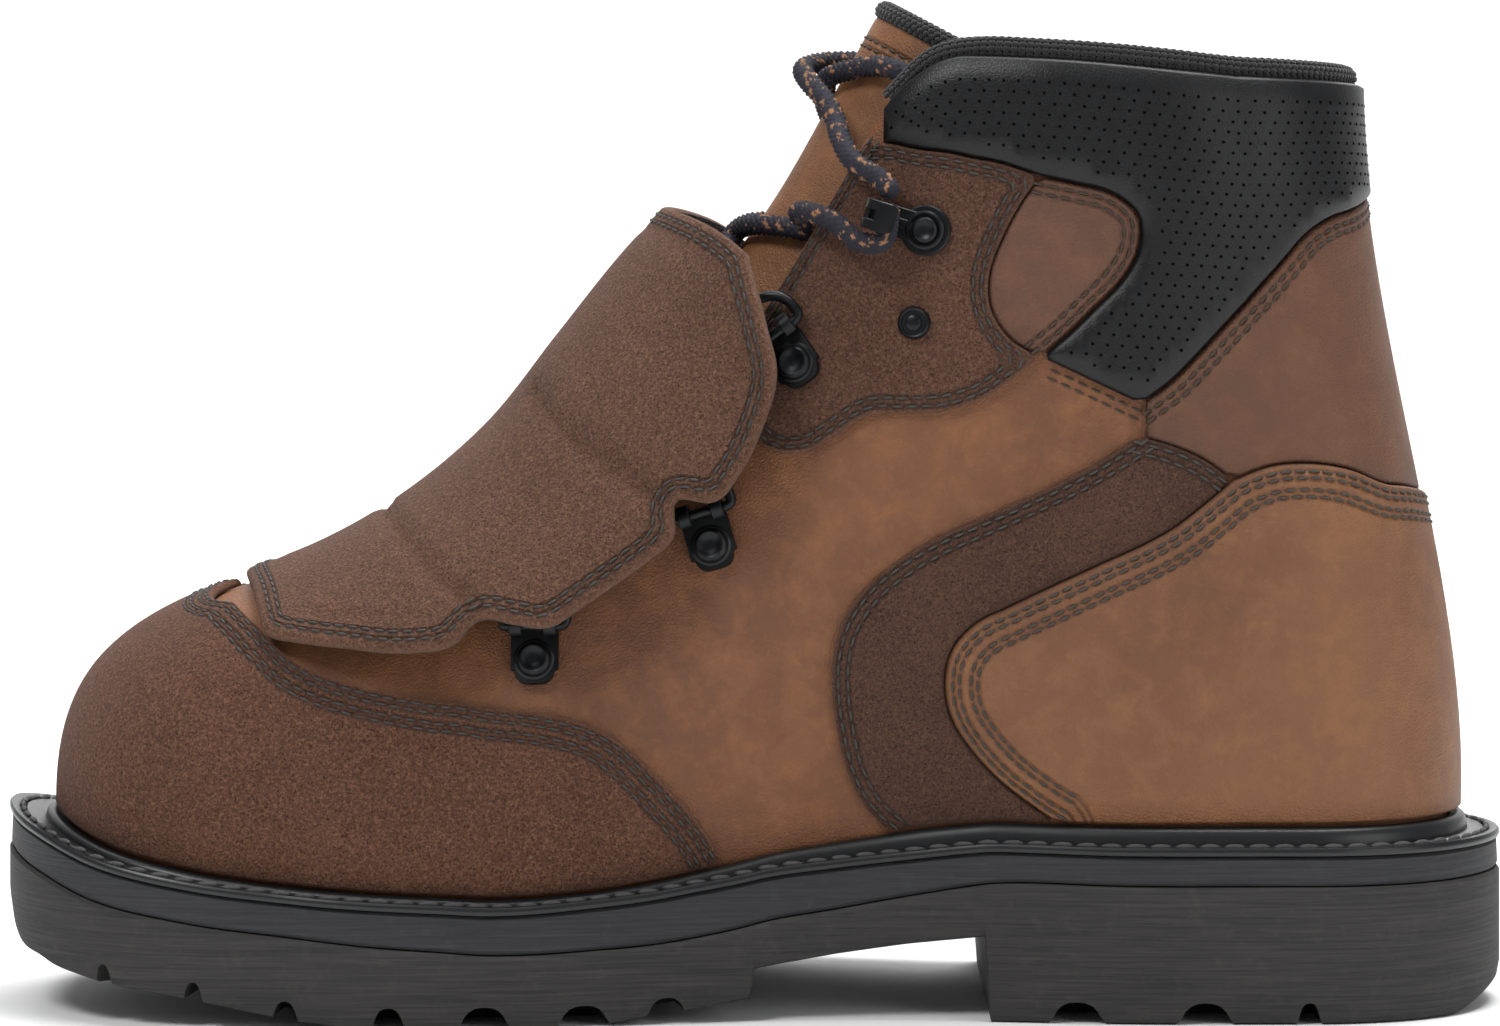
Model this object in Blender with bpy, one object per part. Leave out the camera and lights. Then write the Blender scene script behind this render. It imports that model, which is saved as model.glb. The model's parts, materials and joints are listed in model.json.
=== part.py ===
"""Metatarsal guard boot, right foot, at its real size, in metres.

The toe points along -X, the medial side along -Y and up along +Z. The boot stands on its sole at z = 0.
The upper is one hollow wall worked out by ribs, which run from the feather line up to the topline, in
fans round the toe and the heel and side by side between them. Every overlay is cut from that surface.
"""

import math

import bmesh
import bpy
import numpy as np
from mathutils import Vector
from mathutils.geometry import delaunay_2d_cdt

# Driving dimensions
LENGTH = 0.312
BALL_WIDTH = 0.114
HEEL_WIDTH = 0.081
HEEL_HEIGHT = 0.0343
BOOT_HEIGHT = 0.200
WALL = 0.0025
GAP = 0.0003
SEATING = 0.0005
SEAT = 0.0004
COLLAR_PULL = 0.014

# Layers of the sole
WELT_THICKNESS = 0.0016
MIDSOLE_THICKNESS = 0.0061
ROLL_WIDTH = 0.0036
ROLL_HEIGHT = 0.0036
FLANGE = 0.008
INSOLE_THICKNESS = 0.003
LUG_DEPTH = 0.0045
LUG_REACH = 0.016

# Leathers and pads
CAP_THICKNESS = 0.0019
COUNTER_THICKNESS = 0.0024
BAND_THICKNESS = 0.0014
EYESTAY_THICKNESS = 0.0018
TAB_THICKNESS = 0.0012
QUARTER_THICKNESS = 0.0013
PAD_THICKNESS = 0.0072
TONGUE_THICKNESS = 0.006
GUARD_THICKNESS = 0.0065
BINDING_RADIUS = 0.0021

# Hardware and laces
RING_WIRE = 0.0011
RING_WIDTH = 0.0135
RING_DEPTH = 0.0080
RING_LEAN = math.radians(4)
PLATE_WIDTH = 0.0098
PLATE_THICKNESS = 0.0014
RIVET_RADIUS = 0.0037
WASHER_RADIUS = 0.0052
HOOK_WIDTH = 0.0062
HOOK_THICKNESS = 0.0013
STUD_RADIUS = 0.0034
LACE_RADIUS = 0.0021

# How far apart an outline's points stand
EDGE_STEP = 0.0078

# Shares of the way from the toe's tip round to the heel's back where the fans end
TOE_TURN = 0.20
HEEL_TURN = 0.83
MEDIAL, LATERAL = -1, 1


def table(columns, *rows):
    """A table with named columns, the first of which it is read along."""
    return dict(zip(columns.split(), np.array(rows, float).T))


# Sole edge from the spine, in shares of the local width, and the upper's margin inside it in metres
PLAN = table(
    "around medial lateral rear margin",
    (0.00, 0.491, 0.491, 0.00, 0.0120),
    (0.10, 0.478, 0.469, 0.00, 0.0108),
    (0.20, 0.430, 0.465, 0.00, 0.0092),
    (0.25, 0.439, 0.524, 0.00, 0.0088),
    (0.30, 0.437, 0.557, 0.00, 0.0085),
    (0.36, 0.419, 0.568, 0.00, 0.0085),
    (0.43, 0.410, 0.592, 0.25, 0.0085),
    (0.51, 0.407, 0.600, 0.55, 0.0085),
    (0.59, 0.424, 0.581, 0.80, 0.0085),
    (0.67, 0.483, 0.562, 1.00, 0.0085),
    (0.75, 0.507, 0.514, 1.00, 0.0085),
    (0.83, 0.500, 0.494, 1.00, 0.0085),
    (0.915, 0.525, 0.512, 1.00, 0.0095),
    (1.00, 0.543, 0.543, 1.00, 0.0110),
)

# Heights of the sole along its length: the midsole's top and the ground face in shares of the heel's
# height, and the midsole layer in shares of its thickness
SIDE = table(
    "along top ground layer",
    (0.000, 1.166, 0.641, 1.15),
    (0.006, 1.140, 0.500, 1.15),
    (0.032, 1.050, 0.335, 1.15),
    (0.060, 0.956, 0.270, 1.15),
    (0.128, 0.822, 0.175, 1.10),
    (0.206, 0.735, 0.041, 1.12),
    (0.250, 0.705, 0.000, 1.20),
    (0.295, 0.685, 0.000, 1.26),
    (0.330, 0.668, 0.000, 1.30),
    (0.390, 0.700, 0.000, 1.38),
    (0.433, 0.740, 0.050, 1.46),
    (0.459, 0.780, 0.085, 1.50),
    (0.497, 0.842, 0.145, 1.46),
    (0.501, 0.850, 0.320, 1.45),
    (0.554, 0.915, 0.400, 1.35),
    (0.600, 0.962, 0.457, 1.20),
    (0.652, 1.012, 0.505, 1.05),
    (0.655, 1.014, 0.000, 1.04),
    (0.750, 1.000, 0.000, 1.00),
    (0.955, 1.000, 0.000, 1.00),
    (1.000, 1.000, 0.160, 1.00),
)

# The topline along the length: height in shares of the boot's height, half width in shares of the ball
TOPLINE = table(
    "along height half",
    (0.180, 0.440, 0.000),
    (0.234, 0.462, 0.000),
    (0.282, 0.484, 0.000),
    (0.300, 0.484, 0.105),
    (0.320, 0.480, 0.155),
    (0.360, 0.502, 0.190),
    (0.420, 0.562, 0.205),
    (0.487, 0.668, 0.213),
    (0.514, 0.737, 0.217),
    (0.560, 0.860, 0.222),
    (0.583, 0.922, 0.240),
    (0.605, 0.962, 0.262),
    (0.640, 0.986, 0.285),
    (0.700, 0.983, 0.312),
    (0.790, 0.970, 0.300),
    (0.860, 0.957, 0.225),
)

# Ribs of the upper. Swell widens it past the feather, low and high are how far up the handles stand,
# shoulder is how far out the upper handle lies, in shares of the lower one.
RIBS = table(
    "around swell_medial swell_lateral low shoulder high",
    (0.00, 0.013, 0.013, 0.66, 0.66, 0.79),
    (0.10, 0.018, 0.018, 0.66, 0.68, 0.86),
    (0.20, 0.026, 0.026, 0.62, 0.72, 1.00),
    (0.26, 0.026, 0.023, 0.52, 0.66, 1.00),
    (0.31, 0.026, 0.020, 0.46, 0.66, 0.98),
    (0.36, 0.028, 0.015, 0.42, 0.73, 0.92),
    (0.43, 0.055, 0.000, 0.42, 0.79, 0.84),
    (0.51, 0.085, -0.030, 0.40, 0.85, 0.76),
    (0.59, 0.085, -0.010, 0.36, 0.96, 0.66),
    (0.67, 0.062, 0.010, 0.34, 0.99, 0.64),
    (0.75, 0.034, 0.025, 0.32, 0.98, 0.64),
    (0.83, 0.020, 0.020, 0.31, 0.92, 0.64),
    (0.915, 0.025, 0.025, 0.31, 0.83, 0.66),
    (1.00, 0.030, 0.030, 0.31, 0.75, 0.66),
)


def read(rows, column, at, level=False):
    """A table's column as a smooth curve at these places. Level curves end flat."""
    keys = next(iter(rows.values()))
    values = rows[column]
    steps = np.diff(keys)
    slopes = np.diff(values) / steps
    tangents = np.empty_like(values)
    tangents[1:-1] = slopes[:-1] * steps[1:] + slopes[1:] * steps[:-1]
    tangents[1:-1] /= steps[:-1] + steps[1:]
    tangents[1:-1] *= slopes[:-1] * slopes[1:] > 0
    tangents[0], tangents[-1] = (0, 0) if level else (slopes[0], slopes[-1])
    at = np.clip(np.asarray(at, float), keys[0], keys[-1])
    i = np.clip(np.searchsorted(keys, at) - 1, 0, len(steps) - 1)
    w = (at - keys[i]) / steps[i]
    rise = values[i + 1] - values[i]
    bend = tangents[i] * steps[i] * w * (1 - w) ** 2 - tangents[i + 1] * steps[i] * w**2 * (1 - w)
    return values[i] + rise * w**2 * (3 - 2 * w) + bend


TOE_REACH = PLAN["medial"][0] * BALL_WIDTH
HEEL_REACH = PLAN["medial"][-1] * HEEL_WIDTH
TOE_X = TOE_REACH - LENGTH / 2
HEEL_X = LENGTH / 2 - HEEL_REACH
TOE_Y = -0.061 * BALL_WIDTH
HEEL_Y = -0.088 * BALL_WIDTH


def share(x):
    return np.asarray(x) / LENGTH + 0.5


def spine(x):
    """Where the boot's middle lies, from the toe's fan to the heel's."""
    return TOE_Y + (HEEL_Y - TOE_Y) * np.clip((x - TOE_X) / (HEEL_X - TOE_X), 0, 1)


def sole_height(column, x):
    return HEEL_HEIGHT * read(SIDE, column, share(x))


def welt_height(x):
    return sole_height("top", x) + WELT_THICKNESS


def roll_height(station):
    """How high the welt's roll stands: low along the forefoot, higher round the toe and the heel."""
    toe = np.clip(1 - station / TOE_TURN, 0, 1)
    rear = np.clip((station - 0.40) / 0.20, 0, 1)
    return ROLL_HEIGHT * (0.22 + 0.45 * toe + 0.78 * rear)


def rib(u):
    """Where the rib at u stands on the spine, its heading, its station and its side.

    u is 0 at the toe's tip and 1 at the heel's back by the medial side, and goes on by the lateral side.
    """
    turned = (np.asarray(u, float) + 1) % 2 - 1
    station = abs(turned)
    side = np.where(turned >= 0, MEDIAL, LATERAL)
    toe = np.clip(1 - station / TOE_TURN, 0, 1) * math.pi / 2
    heel = np.clip((station - HEEL_TURN) / (1 - HEEL_TURN), 0, 1) * math.pi / 2
    ahead = np.sin(heel) - np.sin(toe)
    across = side * np.cos(heel + toe)
    along = np.clip((station - TOE_TURN) / (HEEL_TURN - TOE_TURN), 0, 1)
    x = TOE_X + (HEEL_X - TOE_X) * along
    return x, spine(x), ahead, across, station, side


def sole_reach(station, side):
    """How far the sole's edge lies from the spine."""
    width = BALL_WIDTH + (HEEL_WIDTH - BALL_WIDTH) * read(PLAN, "rear", station)
    medial = read(PLAN, "medial", station, level=True)
    lateral = read(PLAN, "lateral", station, level=True)
    return width * np.where(side == MEDIAL, medial, lateral)


def feather_reach(station, side):
    return sole_reach(station, side) - read(PLAN, "margin", station, level=True)


def on_upper(u, v):
    """The upper's outer face: v is 0 at the feather line and 1 at the topline."""
    x, y, ahead, across, station, side = rib(u)
    foot = feather_reach(station, side)
    foot_z = welt_height(x + ahead * foot) + SEAT
    fan = np.clip((station - HEEL_TURN) / (1 - HEEL_TURN), 0, 1)
    behind = np.clip((station - 0.60) / (HEEL_TURN - 0.60), 0, 1)
    top_x = x - COLLAR_PULL * behind**2 * (3 - 2 * behind)
    top = BALL_WIDTH * read(TOPLINE, "half", share(top_x)) * (1 - 0.145 * fan * (2 - fan))
    top_z = BOOT_HEIGHT * (read(TOPLINE, "height", share(top_x)) - 0.012 * fan)
    swell = np.where(side == MEDIAL, read(RIBS, "swell_medial", station), read(RIBS, "swell_lateral", station))
    low = foot + BALL_WIDTH * swell
    high = low * read(RIBS, "shoulder", station)
    rise = top_z - foot_z
    low_z = foot_z + rise * read(RIBS, "low", station)
    high_z = foot_z + rise * read(RIBS, "high", station)
    v = np.asarray(v, float)
    weights = (1 - v) ** 3, 3 * v * (1 - v) ** 2, 3 * v**2 * (1 - v), v**3
    out = sum(w * r for w, r in zip(weights, (foot, low, high, top)))
    z = sum(w * h for w, h in zip(weights, (foot_z, low_z, high_z, top_z)))
    x = sum(w * h for w, h in zip(weights, (x, x, top_x, top_x)))
    return np.stack([x + ahead * out, y + across * out, z * np.ones_like(out)], axis=-1)


# The tongue's and the guard's middle lines, in shares of the length and the boot's height. Half is their
# half width in shares of the ball, and drop how far their sides hang below the middle line.
TONGUE = table(
    "way along height medial lateral drop",
    (0.00, 0.292, 0.425, 0.198, 0.198, 0.135),
    (0.14, 0.338, 0.495, 0.200, 0.200, 0.155),
    (0.30, 0.390, 0.585, 0.200, 0.200, 0.175),
    (0.45, 0.438, 0.680, 0.200, 0.200, 0.185),
    (0.60, 0.482, 0.765, 0.200, 0.200, 0.185),
    (0.75, 0.520, 0.850, 0.200, 0.200, 0.180),
    (0.88, 0.556, 0.950, 0.204, 0.204, 0.172),
    (1.00, 0.584, 1.030, 0.215, 0.215, 0.165),
)
GUARD = table(
    "way along height medial lateral drop",
    (0.00, 0.150, 0.4405, 0.310, 0.330, 0.060),
    (0.12, 0.206, 0.474, 0.395, 0.430, 0.130),
    (0.25, 0.262, 0.524, 0.455, 0.540, 0.215),
    (0.40, 0.320, 0.600, 0.480, 0.570, 0.300),
    (0.55, 0.366, 0.690, 0.485, 0.550, 0.350),
    (0.70, 0.404, 0.765, 0.475, 0.510, 0.350),
    (0.85, 0.437, 0.823, 0.482, 0.482, 0.300),
    (1.00, 0.470, 0.880, 0.445, 0.440, 0.240),
)


def arched(rows, a, b, bow):
    """A surface along its middle line: a is the way along, b runs from -1 medial to 1 lateral."""
    a = np.asarray(a, float)
    b = np.asarray(b, float)
    small = 1e-3

    def middle(way):
        return LENGTH * (read(rows, "along", way) - 0.5), BOOT_HEIGHT * read(rows, "height", way)

    x, z = middle(a)
    ahead, rise = np.subtract(middle(np.clip(a + small, 0, 1)), middle(np.clip(a - small, 0, 1)))
    size = np.hypot(ahead, rise)
    angle = bow * b
    half = BALL_WIDTH * np.where(b < 0, read(rows, "medial", a), read(rows, "lateral", a))
    y = spine(x) + half * np.sin(angle) / math.sin(bow)
    hang = BOOT_HEIGHT * read(rows, "drop", a) * (1 - np.cos(angle)) / (1 - math.cos(bow))
    return np.stack([x + hang * rise / size, y, z - hang * ahead / size], axis=-1)


def on_tongue(a, b):
    return arched(TONGUE, a, b, math.radians(86))


def on_guard(a, b):
    return arched(GUARD, a, b, math.radians(72))


def offset(surface, u, v, out):
    """Points this far out along the surface's normal."""
    small = 2e-4
    u = np.asarray(u, float)
    v = np.asarray(v, float)
    one = surface(u + small, v) - surface(u - small, v)
    other = surface(u, np.minimum(v + small, 1)) - surface(u, v - small)
    normal = np.cross(one, other)
    normal /= np.linalg.norm(normal, axis=-1, keepdims=True)
    return surface(u, v) + normal * np.asarray(out)[..., None]


SPANS = {
    on_upper: ((0.0, 1.0), (0.0, 1.0), 0.33, 0.11),
    on_tongue: ((0.0, 1.0), (-1.0, 1.0), 0.15, 0.035),
    on_guard: ((0.0, 1.0), (-1.0, 1.0), 0.12, 0.055),
}


def locate(surface, side, points):
    """The surface's parameters under points given as x and z in side view."""
    points = np.asarray(points, float)
    (u0, u1), (v0, v1), _, _ = SPANS[surface]
    if surface is on_upper and side == LATERAL:
        u0, u1 = 1.0, 2.0
    elif surface is not on_upper:
        v0, v1 = (-1.0, 0.0) if side == MEDIAL else (0.0, 1.0)
    u, v = np.meshgrid(np.linspace(u0, u1, 241), np.linspace(v0, v1, 121), indexing="ij")
    seen = surface(u, v)
    found = []
    for x, z in points:
        i = np.argmin((seen[..., 0] - x) ** 2 + (seen[..., 2] - z) ** 2)
        at = np.array([u.flat[i], v.flat[i]])
        for _ in range(6):
            here = surface(at[0], at[1])[[0, 2]]
            step = 1e-4
            by_u = (surface(at[0] + step, at[1])[[0, 2]] - here) / step
            by_v = (surface(at[0], at[1] - step)[[0, 2]] - here) / -step
            slopes = np.stack([by_u, by_v], axis=1)
            move = np.linalg.lstsq(slopes, np.array([x, z]) - here, rcond=1e-3)[0]
            at = np.clip(at + np.clip(move, -0.05, 0.05), (u0, v0), (u1, v1))
        found.append(at)
    return np.array(found)


def rounded(points, count):
    """Points along a smooth curve through these, spaced by its length."""
    points = np.asarray(points, float)
    if len(points) > 2:
        ends = np.vstack([2 * points[0] - points[1], points, 2 * points[-1] - points[-2]])
        dense = []
        for i in range(1, len(ends) - 2):
            a, b, c, d = ends[i - 1 : i + 3]
            for w in np.linspace(0, 1, 12, endpoint=False):
                dense.append(
                    0.5
                    * (2 * b + (c - a) * w + (2 * a - 5 * b + 4 * c - d) * w**2 + (3 * b - a - 3 * c + d) * w**3)
                )
        points = np.vstack([dense, points[-1]])
    lengths = np.concatenate([[0], np.cumsum(np.linalg.norm(np.diff(points, axis=0), axis=1))])
    at = np.linspace(0, lengths[-1], count)
    return np.stack([np.interp(at, lengths, points[:, k]) for k in range(points.shape[1])], axis=1)


def edge(surface, side, shares, spacing=EDGE_STEP):
    """A smooth stretch of outline through points in shares of the length and the boot's height."""
    scale = np.array([LENGTH, BOOT_HEIGHT])
    points = (np.asarray(shares) - (0.5, 0)) * scale
    length = np.linalg.norm(np.diff(points, axis=0), axis=1).sum()
    return locate(surface, side, rounded(points, max(2, round(length / spacing) + 1)))


def straight(start, end, surface, spacing=EDGE_STEP):
    """A stretch between two places in the surface's own parameters."""
    _, _, along, up = SPANS[surface]
    length = math.hypot((end[0] - start[0]) * along, (end[1] - start[1]) * up)
    return np.linspace(start, end, max(2, round(length / spacing) + 1))


def outline_of(*stretches):
    """One closed outline, with each corner once."""
    points = []
    for point in np.vstack(stretches):
        if not points or np.abs(point - points[-1]).max() > 2e-3:
            points.append(point)
    if np.abs(points[0] - points[-1]).max() < 2e-3:
        points.pop()
    return np.array(points)


def mirrored(points):
    """The same stretch on the lateral side, run backwards."""
    return np.stack([-points[::-1, 0], points[::-1, 1]], axis=1)


def inside(points, outline):
    x, y = points[:, :1], points[:, 1:]
    x0, y0 = outline[:, 0], outline[:, 1]
    x1, y1 = np.roll(x0, -1), np.roll(y0, -1)
    crosses = ((y0 > y) != (y1 > y)) & (x < (x1 - x0) * (y - y0) / np.where(y1 == y0, 1e-12, y1 - y0) + x0)
    return crosses.sum(axis=1) % 2 == 1


def from_edge(points, outline):
    """Distance from each point to the outline."""
    start = outline[None]
    run = np.roll(outline, -1, axis=0)[None] - start
    w = ((points[:, None] - start) * run).sum(axis=2) / np.maximum((run**2).sum(axis=2), 1e-18)
    near = start + run * np.clip(w, 0, 1)[..., None]
    return np.linalg.norm(points[:, None] - near, axis=2).min(axis=1)


def shrunk(outline, by):
    """The outline moved inwards by this much."""
    before = outline - np.roll(outline, 1, axis=0)
    after = np.roll(outline, -1, axis=0) - outline
    area = (outline[:, 0] * np.roll(outline[:, 1], -1) - outline[:, 1] * np.roll(outline[:, 0], -1)).sum()
    turn = np.sign(area)

    def inward(run):
        return turn * np.stack([-run[:, 1], run[:, 0]], axis=1) / np.linalg.norm(run, axis=1)[:, None]

    middle = inward(before) + inward(after)
    middle /= np.linalg.norm(middle, axis=1)[:, None]
    lean = np.maximum((middle * inward(after)).sum(axis=1), 0.5)
    return outline + middle * (by / lean)[:, None]


def panel(name, surface, outline, low, high, spacing, material, rows=0):
    """A sheet cut from a surface between two faces. Low and high give each face's height above it,
    from the place and the distance to the outline."""
    scale = np.array(SPANS[surface][2:])
    border = shrunk(outline * scale, GAP / 2)
    lowest, highest = border.min(axis=0), border.max(axis=0)
    xs = np.arange(lowest[0], highest[0], spacing)
    ys = np.arange(lowest[1], highest[1], spacing * 0.87)
    grid = np.array([(x + spacing / 2 * (j % 2), y) for j, y in enumerate(ys) for x in xs])
    grid = grid[inside(grid, border)]
    if len(grid):
        grid = grid[from_edge(grid, border) > spacing * 0.55]
    count = len(border)
    points = np.vstack([border, grid]) if len(grid) else border
    edges = [(i, (i + 1) % count) for i in range(count)]
    flat, _, faces, _, _, _ = delaunay_2d_cdt([Vector(p) for p in points], edges, [], 1, 1e-7)
    flat = np.array(flat)
    depth = from_edge(flat, border)
    u, v = flat[:, 0] / scale[0], flat[:, 1] / scale[1]
    upper_face = offset(surface, u, v, high(u, v, depth))
    lower_face = offset(surface, u, v, low(u, v, depth))
    mesh = bmesh.new()
    tops = [mesh.verts.new(p) for p in upper_face]
    bottoms = [mesh.verts.new(p) for p in lower_face]
    uses = {}
    for face in faces:
        mesh.faces.new([tops[i] for i in face])
        mesh.faces.new([bottoms[i] for i in reversed(face)])
        for i, j in zip(face, list(face[1:]) + [face[0]]):
            uses[(i, j)] = True
    for i, j in uses:
        if (j, i) not in uses:
            mesh.faces.new([tops[j], tops[i], bottoms[i], bottoms[j]])
    return finish(name, mesh, material)


def evenly(height):
    return lambda u, v, depth: np.full_like(depth, height)


def seated(u, v, depth):
    """The gap under an overlay, a little wider where the toe and the heel bend most."""
    station = abs((u + 1) % 2 - 1)
    heel = np.clip((station - 0.78) / 0.04, 0, 1)
    toe = np.clip((0.36 - station) / 0.05, 0, 1)
    return SEATING + 0.0004 * np.maximum(heel, toe)


def crowned(border, middle, over):
    """A height that swells from the border to the middle over this distance."""

    def height(u, v, depth):
        w = np.clip(depth / over, 0, 1)
        return border + (middle - border) * np.sin(w * math.pi / 2)

    return height


MATERIALS = {
    "suede": ((0.135, 0.066, 0.042), 0.85, 0.0),
    "band_leather": ((0.095, 0.052, 0.038), 0.75, 0.0),
    "oiled_leather": ((0.270, 0.105, 0.040), 0.55, 0.0),
    "tab_leather": ((0.095, 0.042, 0.022), 0.55, 0.0),
    "black_padding": ((0.018, 0.019, 0.022), 0.60, 0.0),
    "knit": ((0.020, 0.020, 0.021), 0.90, 0.0),
    "sole_rubber": ((0.042, 0.041, 0.042), 0.80, 0.0),
    "midsole_rubber": ((0.034, 0.035, 0.038), 0.75, 0.0),
    "welt_rubber": ((0.014, 0.014, 0.016), 0.45, 0.0),
    "black_metal": ((0.012, 0.012, 0.013), 0.35, 0.9),
    "lace_cord": ((0.018, 0.017, 0.028), 0.80, 0.0),
    "insole_cloth": ((0.060, 0.055, 0.050), 0.90, 0.0),
}


def material_of(name, node):
    color, roughness, metallic = MATERIALS[name]
    material = bpy.data.materials.new(node)
    material.use_nodes = True
    shader = material.node_tree.nodes["Principled BSDF"]
    shader.inputs["Base Color"].default_value = (*color, 1)
    shader.inputs["Roughness"].default_value = roughness
    shader.inputs["Metallic"].default_value = metallic
    material.diffuse_color = (*color, 1)
    return material


def finish(name, mesh, material, helper=False):
    """Closes a bmesh's business: outward faces, an object, its material."""
    bmesh.ops.remove_doubles(mesh, verts=mesh.verts, dist=2e-6)
    bmesh.ops.recalc_face_normals(mesh, faces=mesh.faces)
    data = bpy.data.meshes.new(name)
    mesh.to_mesh(data)
    mesh.free()
    obj = bpy.data.objects.new(name, data)
    bpy.context.collection.objects.link(obj)
    if helper:
        obj.hide_render = True
        obj.display_type = "WIRE"
    else:
        data.materials.append(material_of(material, name))
        data.shade_smooth()
        data.set_sharp_from_angle(angle=math.radians(35))
    return obj


def combine(target, others, operation):
    """Joins helpers to an object, or cuts them from it."""
    for other in others:
        boolean = target.modifiers.new(operation.lower(), "BOOLEAN")
        boolean.operation = operation
        boolean.object = other
        boolean.solver = "EXACT"


def loft(name, rings, material, helper=False, closed=False):
    """Skins rings of equal length. It closes on itself, or is capped by a fan at each end."""
    mesh = bmesh.new()
    rows = [[mesh.verts.new(p) for p in ring] for ring in rings]
    pairs = list(zip(rows, rows[1:]))
    if closed:
        pairs.append((rows[-1], rows[0]))
    for one, other in pairs:
        count = len(one)
        for i in range(count):
            j = (i + 1) % count
            mesh.faces.new([one[i], one[j], other[j], other[i]])
    if not closed:
        mesh.faces.new(rows[0])
        mesh.faces.new(rows[-1][::-1])
    return finish(name, mesh, material, helper)


def tube(name, points, radius, material, sides=8, helper=False, squash=1.0):
    """A round bar along points, with flat ends."""
    points = [Vector(p) for p in points]
    rings = []
    side = None
    for i, point in enumerate(points):
        run = (points[min(i + 1, len(points) - 1)] - points[max(i - 1, 0)]).normalized()
        if side is None:
            side = run.orthogonal().normalized()
        side = (side - run * side.dot(run)).normalized()
        up = run.cross(side)
        ring = []
        for k in range(sides):
            angle = 2 * math.pi * k / sides
            ring.append(point + radius * (math.cos(angle) * side + squash * math.sin(angle) * up))
        rings.append(ring)
    return loft(name, rings, material, helper)


# Sole

FOREPART = list(np.linspace(0, TOE_TURN, 9)) + [0.235, 0.27, 0.30, 0.33, 0.36, 0.385]
WAIST_SHARES = (0.430, 0.460, 0.4965, 0.5015, 0.540, 0.580, 0.620, 0.6518, 0.6552)
WAIST = [
    TOE_TURN + (HEEL_TURN - TOE_TURN) * (LENGTH * (w - 0.5) - TOE_X) / (HEEL_X - TOE_X)
    for w in WAIST_SHARES
]
REAR = [0.71, 0.75, 0.79] + list(np.linspace(HEEL_TURN, 1, 7))
SOLE_STATIONS = FOREPART + WAIST + REAR


def round_the_sole(out, height):
    """A ring of points round the sole, this far outside its edge, at a height from each point's x."""
    ring = []
    for u in SOLE_STATIONS + [-s for s in reversed(SOLE_STATIONS[1:-1])]:
        x, y, ahead, across, station, side = rib(u)
        reach = float(sole_reach(station, side)) + out
        x = float(x + ahead * reach)
        ring.append((x, float(y + across * reach), height(x)))
    return ring


def layered(name, rings, material, helper=False):
    """A slab from rings round the sole, top first, closed by rungs from its medial to its lateral side."""
    mesh = bmesh.new()
    rows = [[mesh.verts.new(p) for p in ring] for ring in rings]
    count = len(rows[0])
    for one, other in zip(rows, rows[1:]):
        for i in range(count):
            j = (i + 1) % count
            mesh.faces.new([one[i], one[j], other[j], other[i]])
    for row in (rows[0], rows[-1]):
        half = count // 2
        for i in range(half):
            one, other = row[i], row[-i % count]
            nxt, across = row[i + 1], row[-(i + 1) % count]
            corners = list(dict.fromkeys([one, nxt, across, other]))
            mesh.faces.new(corners)
    return finish(name, mesh, material, helper)


def midsole_top(x):
    return float(sole_height("top", x))


def welt_top(x):
    return midsole_top(x) + WELT_THICKNESS


def groove(x):
    return midsole_top(x) - MIDSOLE_THICKNESS * float(read(SIDE, "layer", share(x)))


def ground(x):
    return float(sole_height("ground", x))


def outsole():
    sole = layered(
        "outsole",
        [
            round_the_sole(-0.0004, lambda x: groove(x) - GAP),
            round_the_sole(0.0, lambda x: groove(x) - 0.0010),
            round_the_sole(0.0, lambda x: max(ground(x) + 0.0012, min(ground(x) + 0.003, groove(x) - 0.003))),
            round_the_sole(-0.0016, ground),
        ],
        "sole_rubber",
    )
    cutters = []
    # Notches between the lugs, in shares of the length, with their widths in metres
    notches = (
        (0.075, 0.0032), (0.135, 0.0034), (0.195, 0.0045), (0.262, 0.0055), (0.325, 0.0085),
        (0.390, 0.0090), (0.445, 0.0070), (0.712, 0.0090), (0.795, 0.0090), (0.862, 0.0040),
    )
    for side in (MEDIAL, LATERAL):
        for at, width in notches:
            cutters.append(notch_cutter(at, width, side))
    combine(sole, cutters, "DIFFERENCE")
    return sole


def notch_cutter(at, width, side):
    """A block that opens the tread's edge between two lugs, square to that edge."""
    target = LENGTH * (at - 0.5)
    stations = np.linspace(0, 1, 401)
    u = stations if side == MEDIAL else -stations
    x, y, ahead, across, station, sides = rib(u)
    reach = sole_reach(station, sides)
    edge_x, edge_y = x + ahead * reach, y + across * reach
    i = int(np.argmin(abs(edge_x - target)))
    i = min(max(i, 1), len(u) - 2)
    run = Vector((edge_x[i + 1] - edge_x[i - 1], edge_y[i + 1] - edge_y[i - 1], 0)).normalized()
    into = Vector((x[i] - edge_x[i], y[i] - edge_y[i], 0)).normalized()
    into = (into - run * into.dot(run)).normalized()
    middle = Vector((edge_x[i], edge_y[i], 0))
    floor = min(ground(edge_x[i] + dx) for dx in (-width, 0, width))
    rings = []
    for depth in (-0.006, LUG_REACH):
        ring = []
        for across_width, z in ((-0.5, -0.01), (0.5, -0.01), (0.5, 0), (-0.5, 0)):
            height = floor + (LUG_DEPTH if z == 0 else z)
            flare = 1.0 if z == 0 else 1.6
            ring.append(middle + into * depth + run * (across_width * width * flare) + Vector((0, 0, height)))
        rings.append(ring)
    return loft("notch", rings, None, helper=True)


def midsole():
    return layered(
        "midsole",
        [
            round_the_sole(-0.0006, lambda x: midsole_top(x) - GAP),
            round_the_sole(-0.0006, groove),
        ],
        "midsole_rubber",
    )


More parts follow.
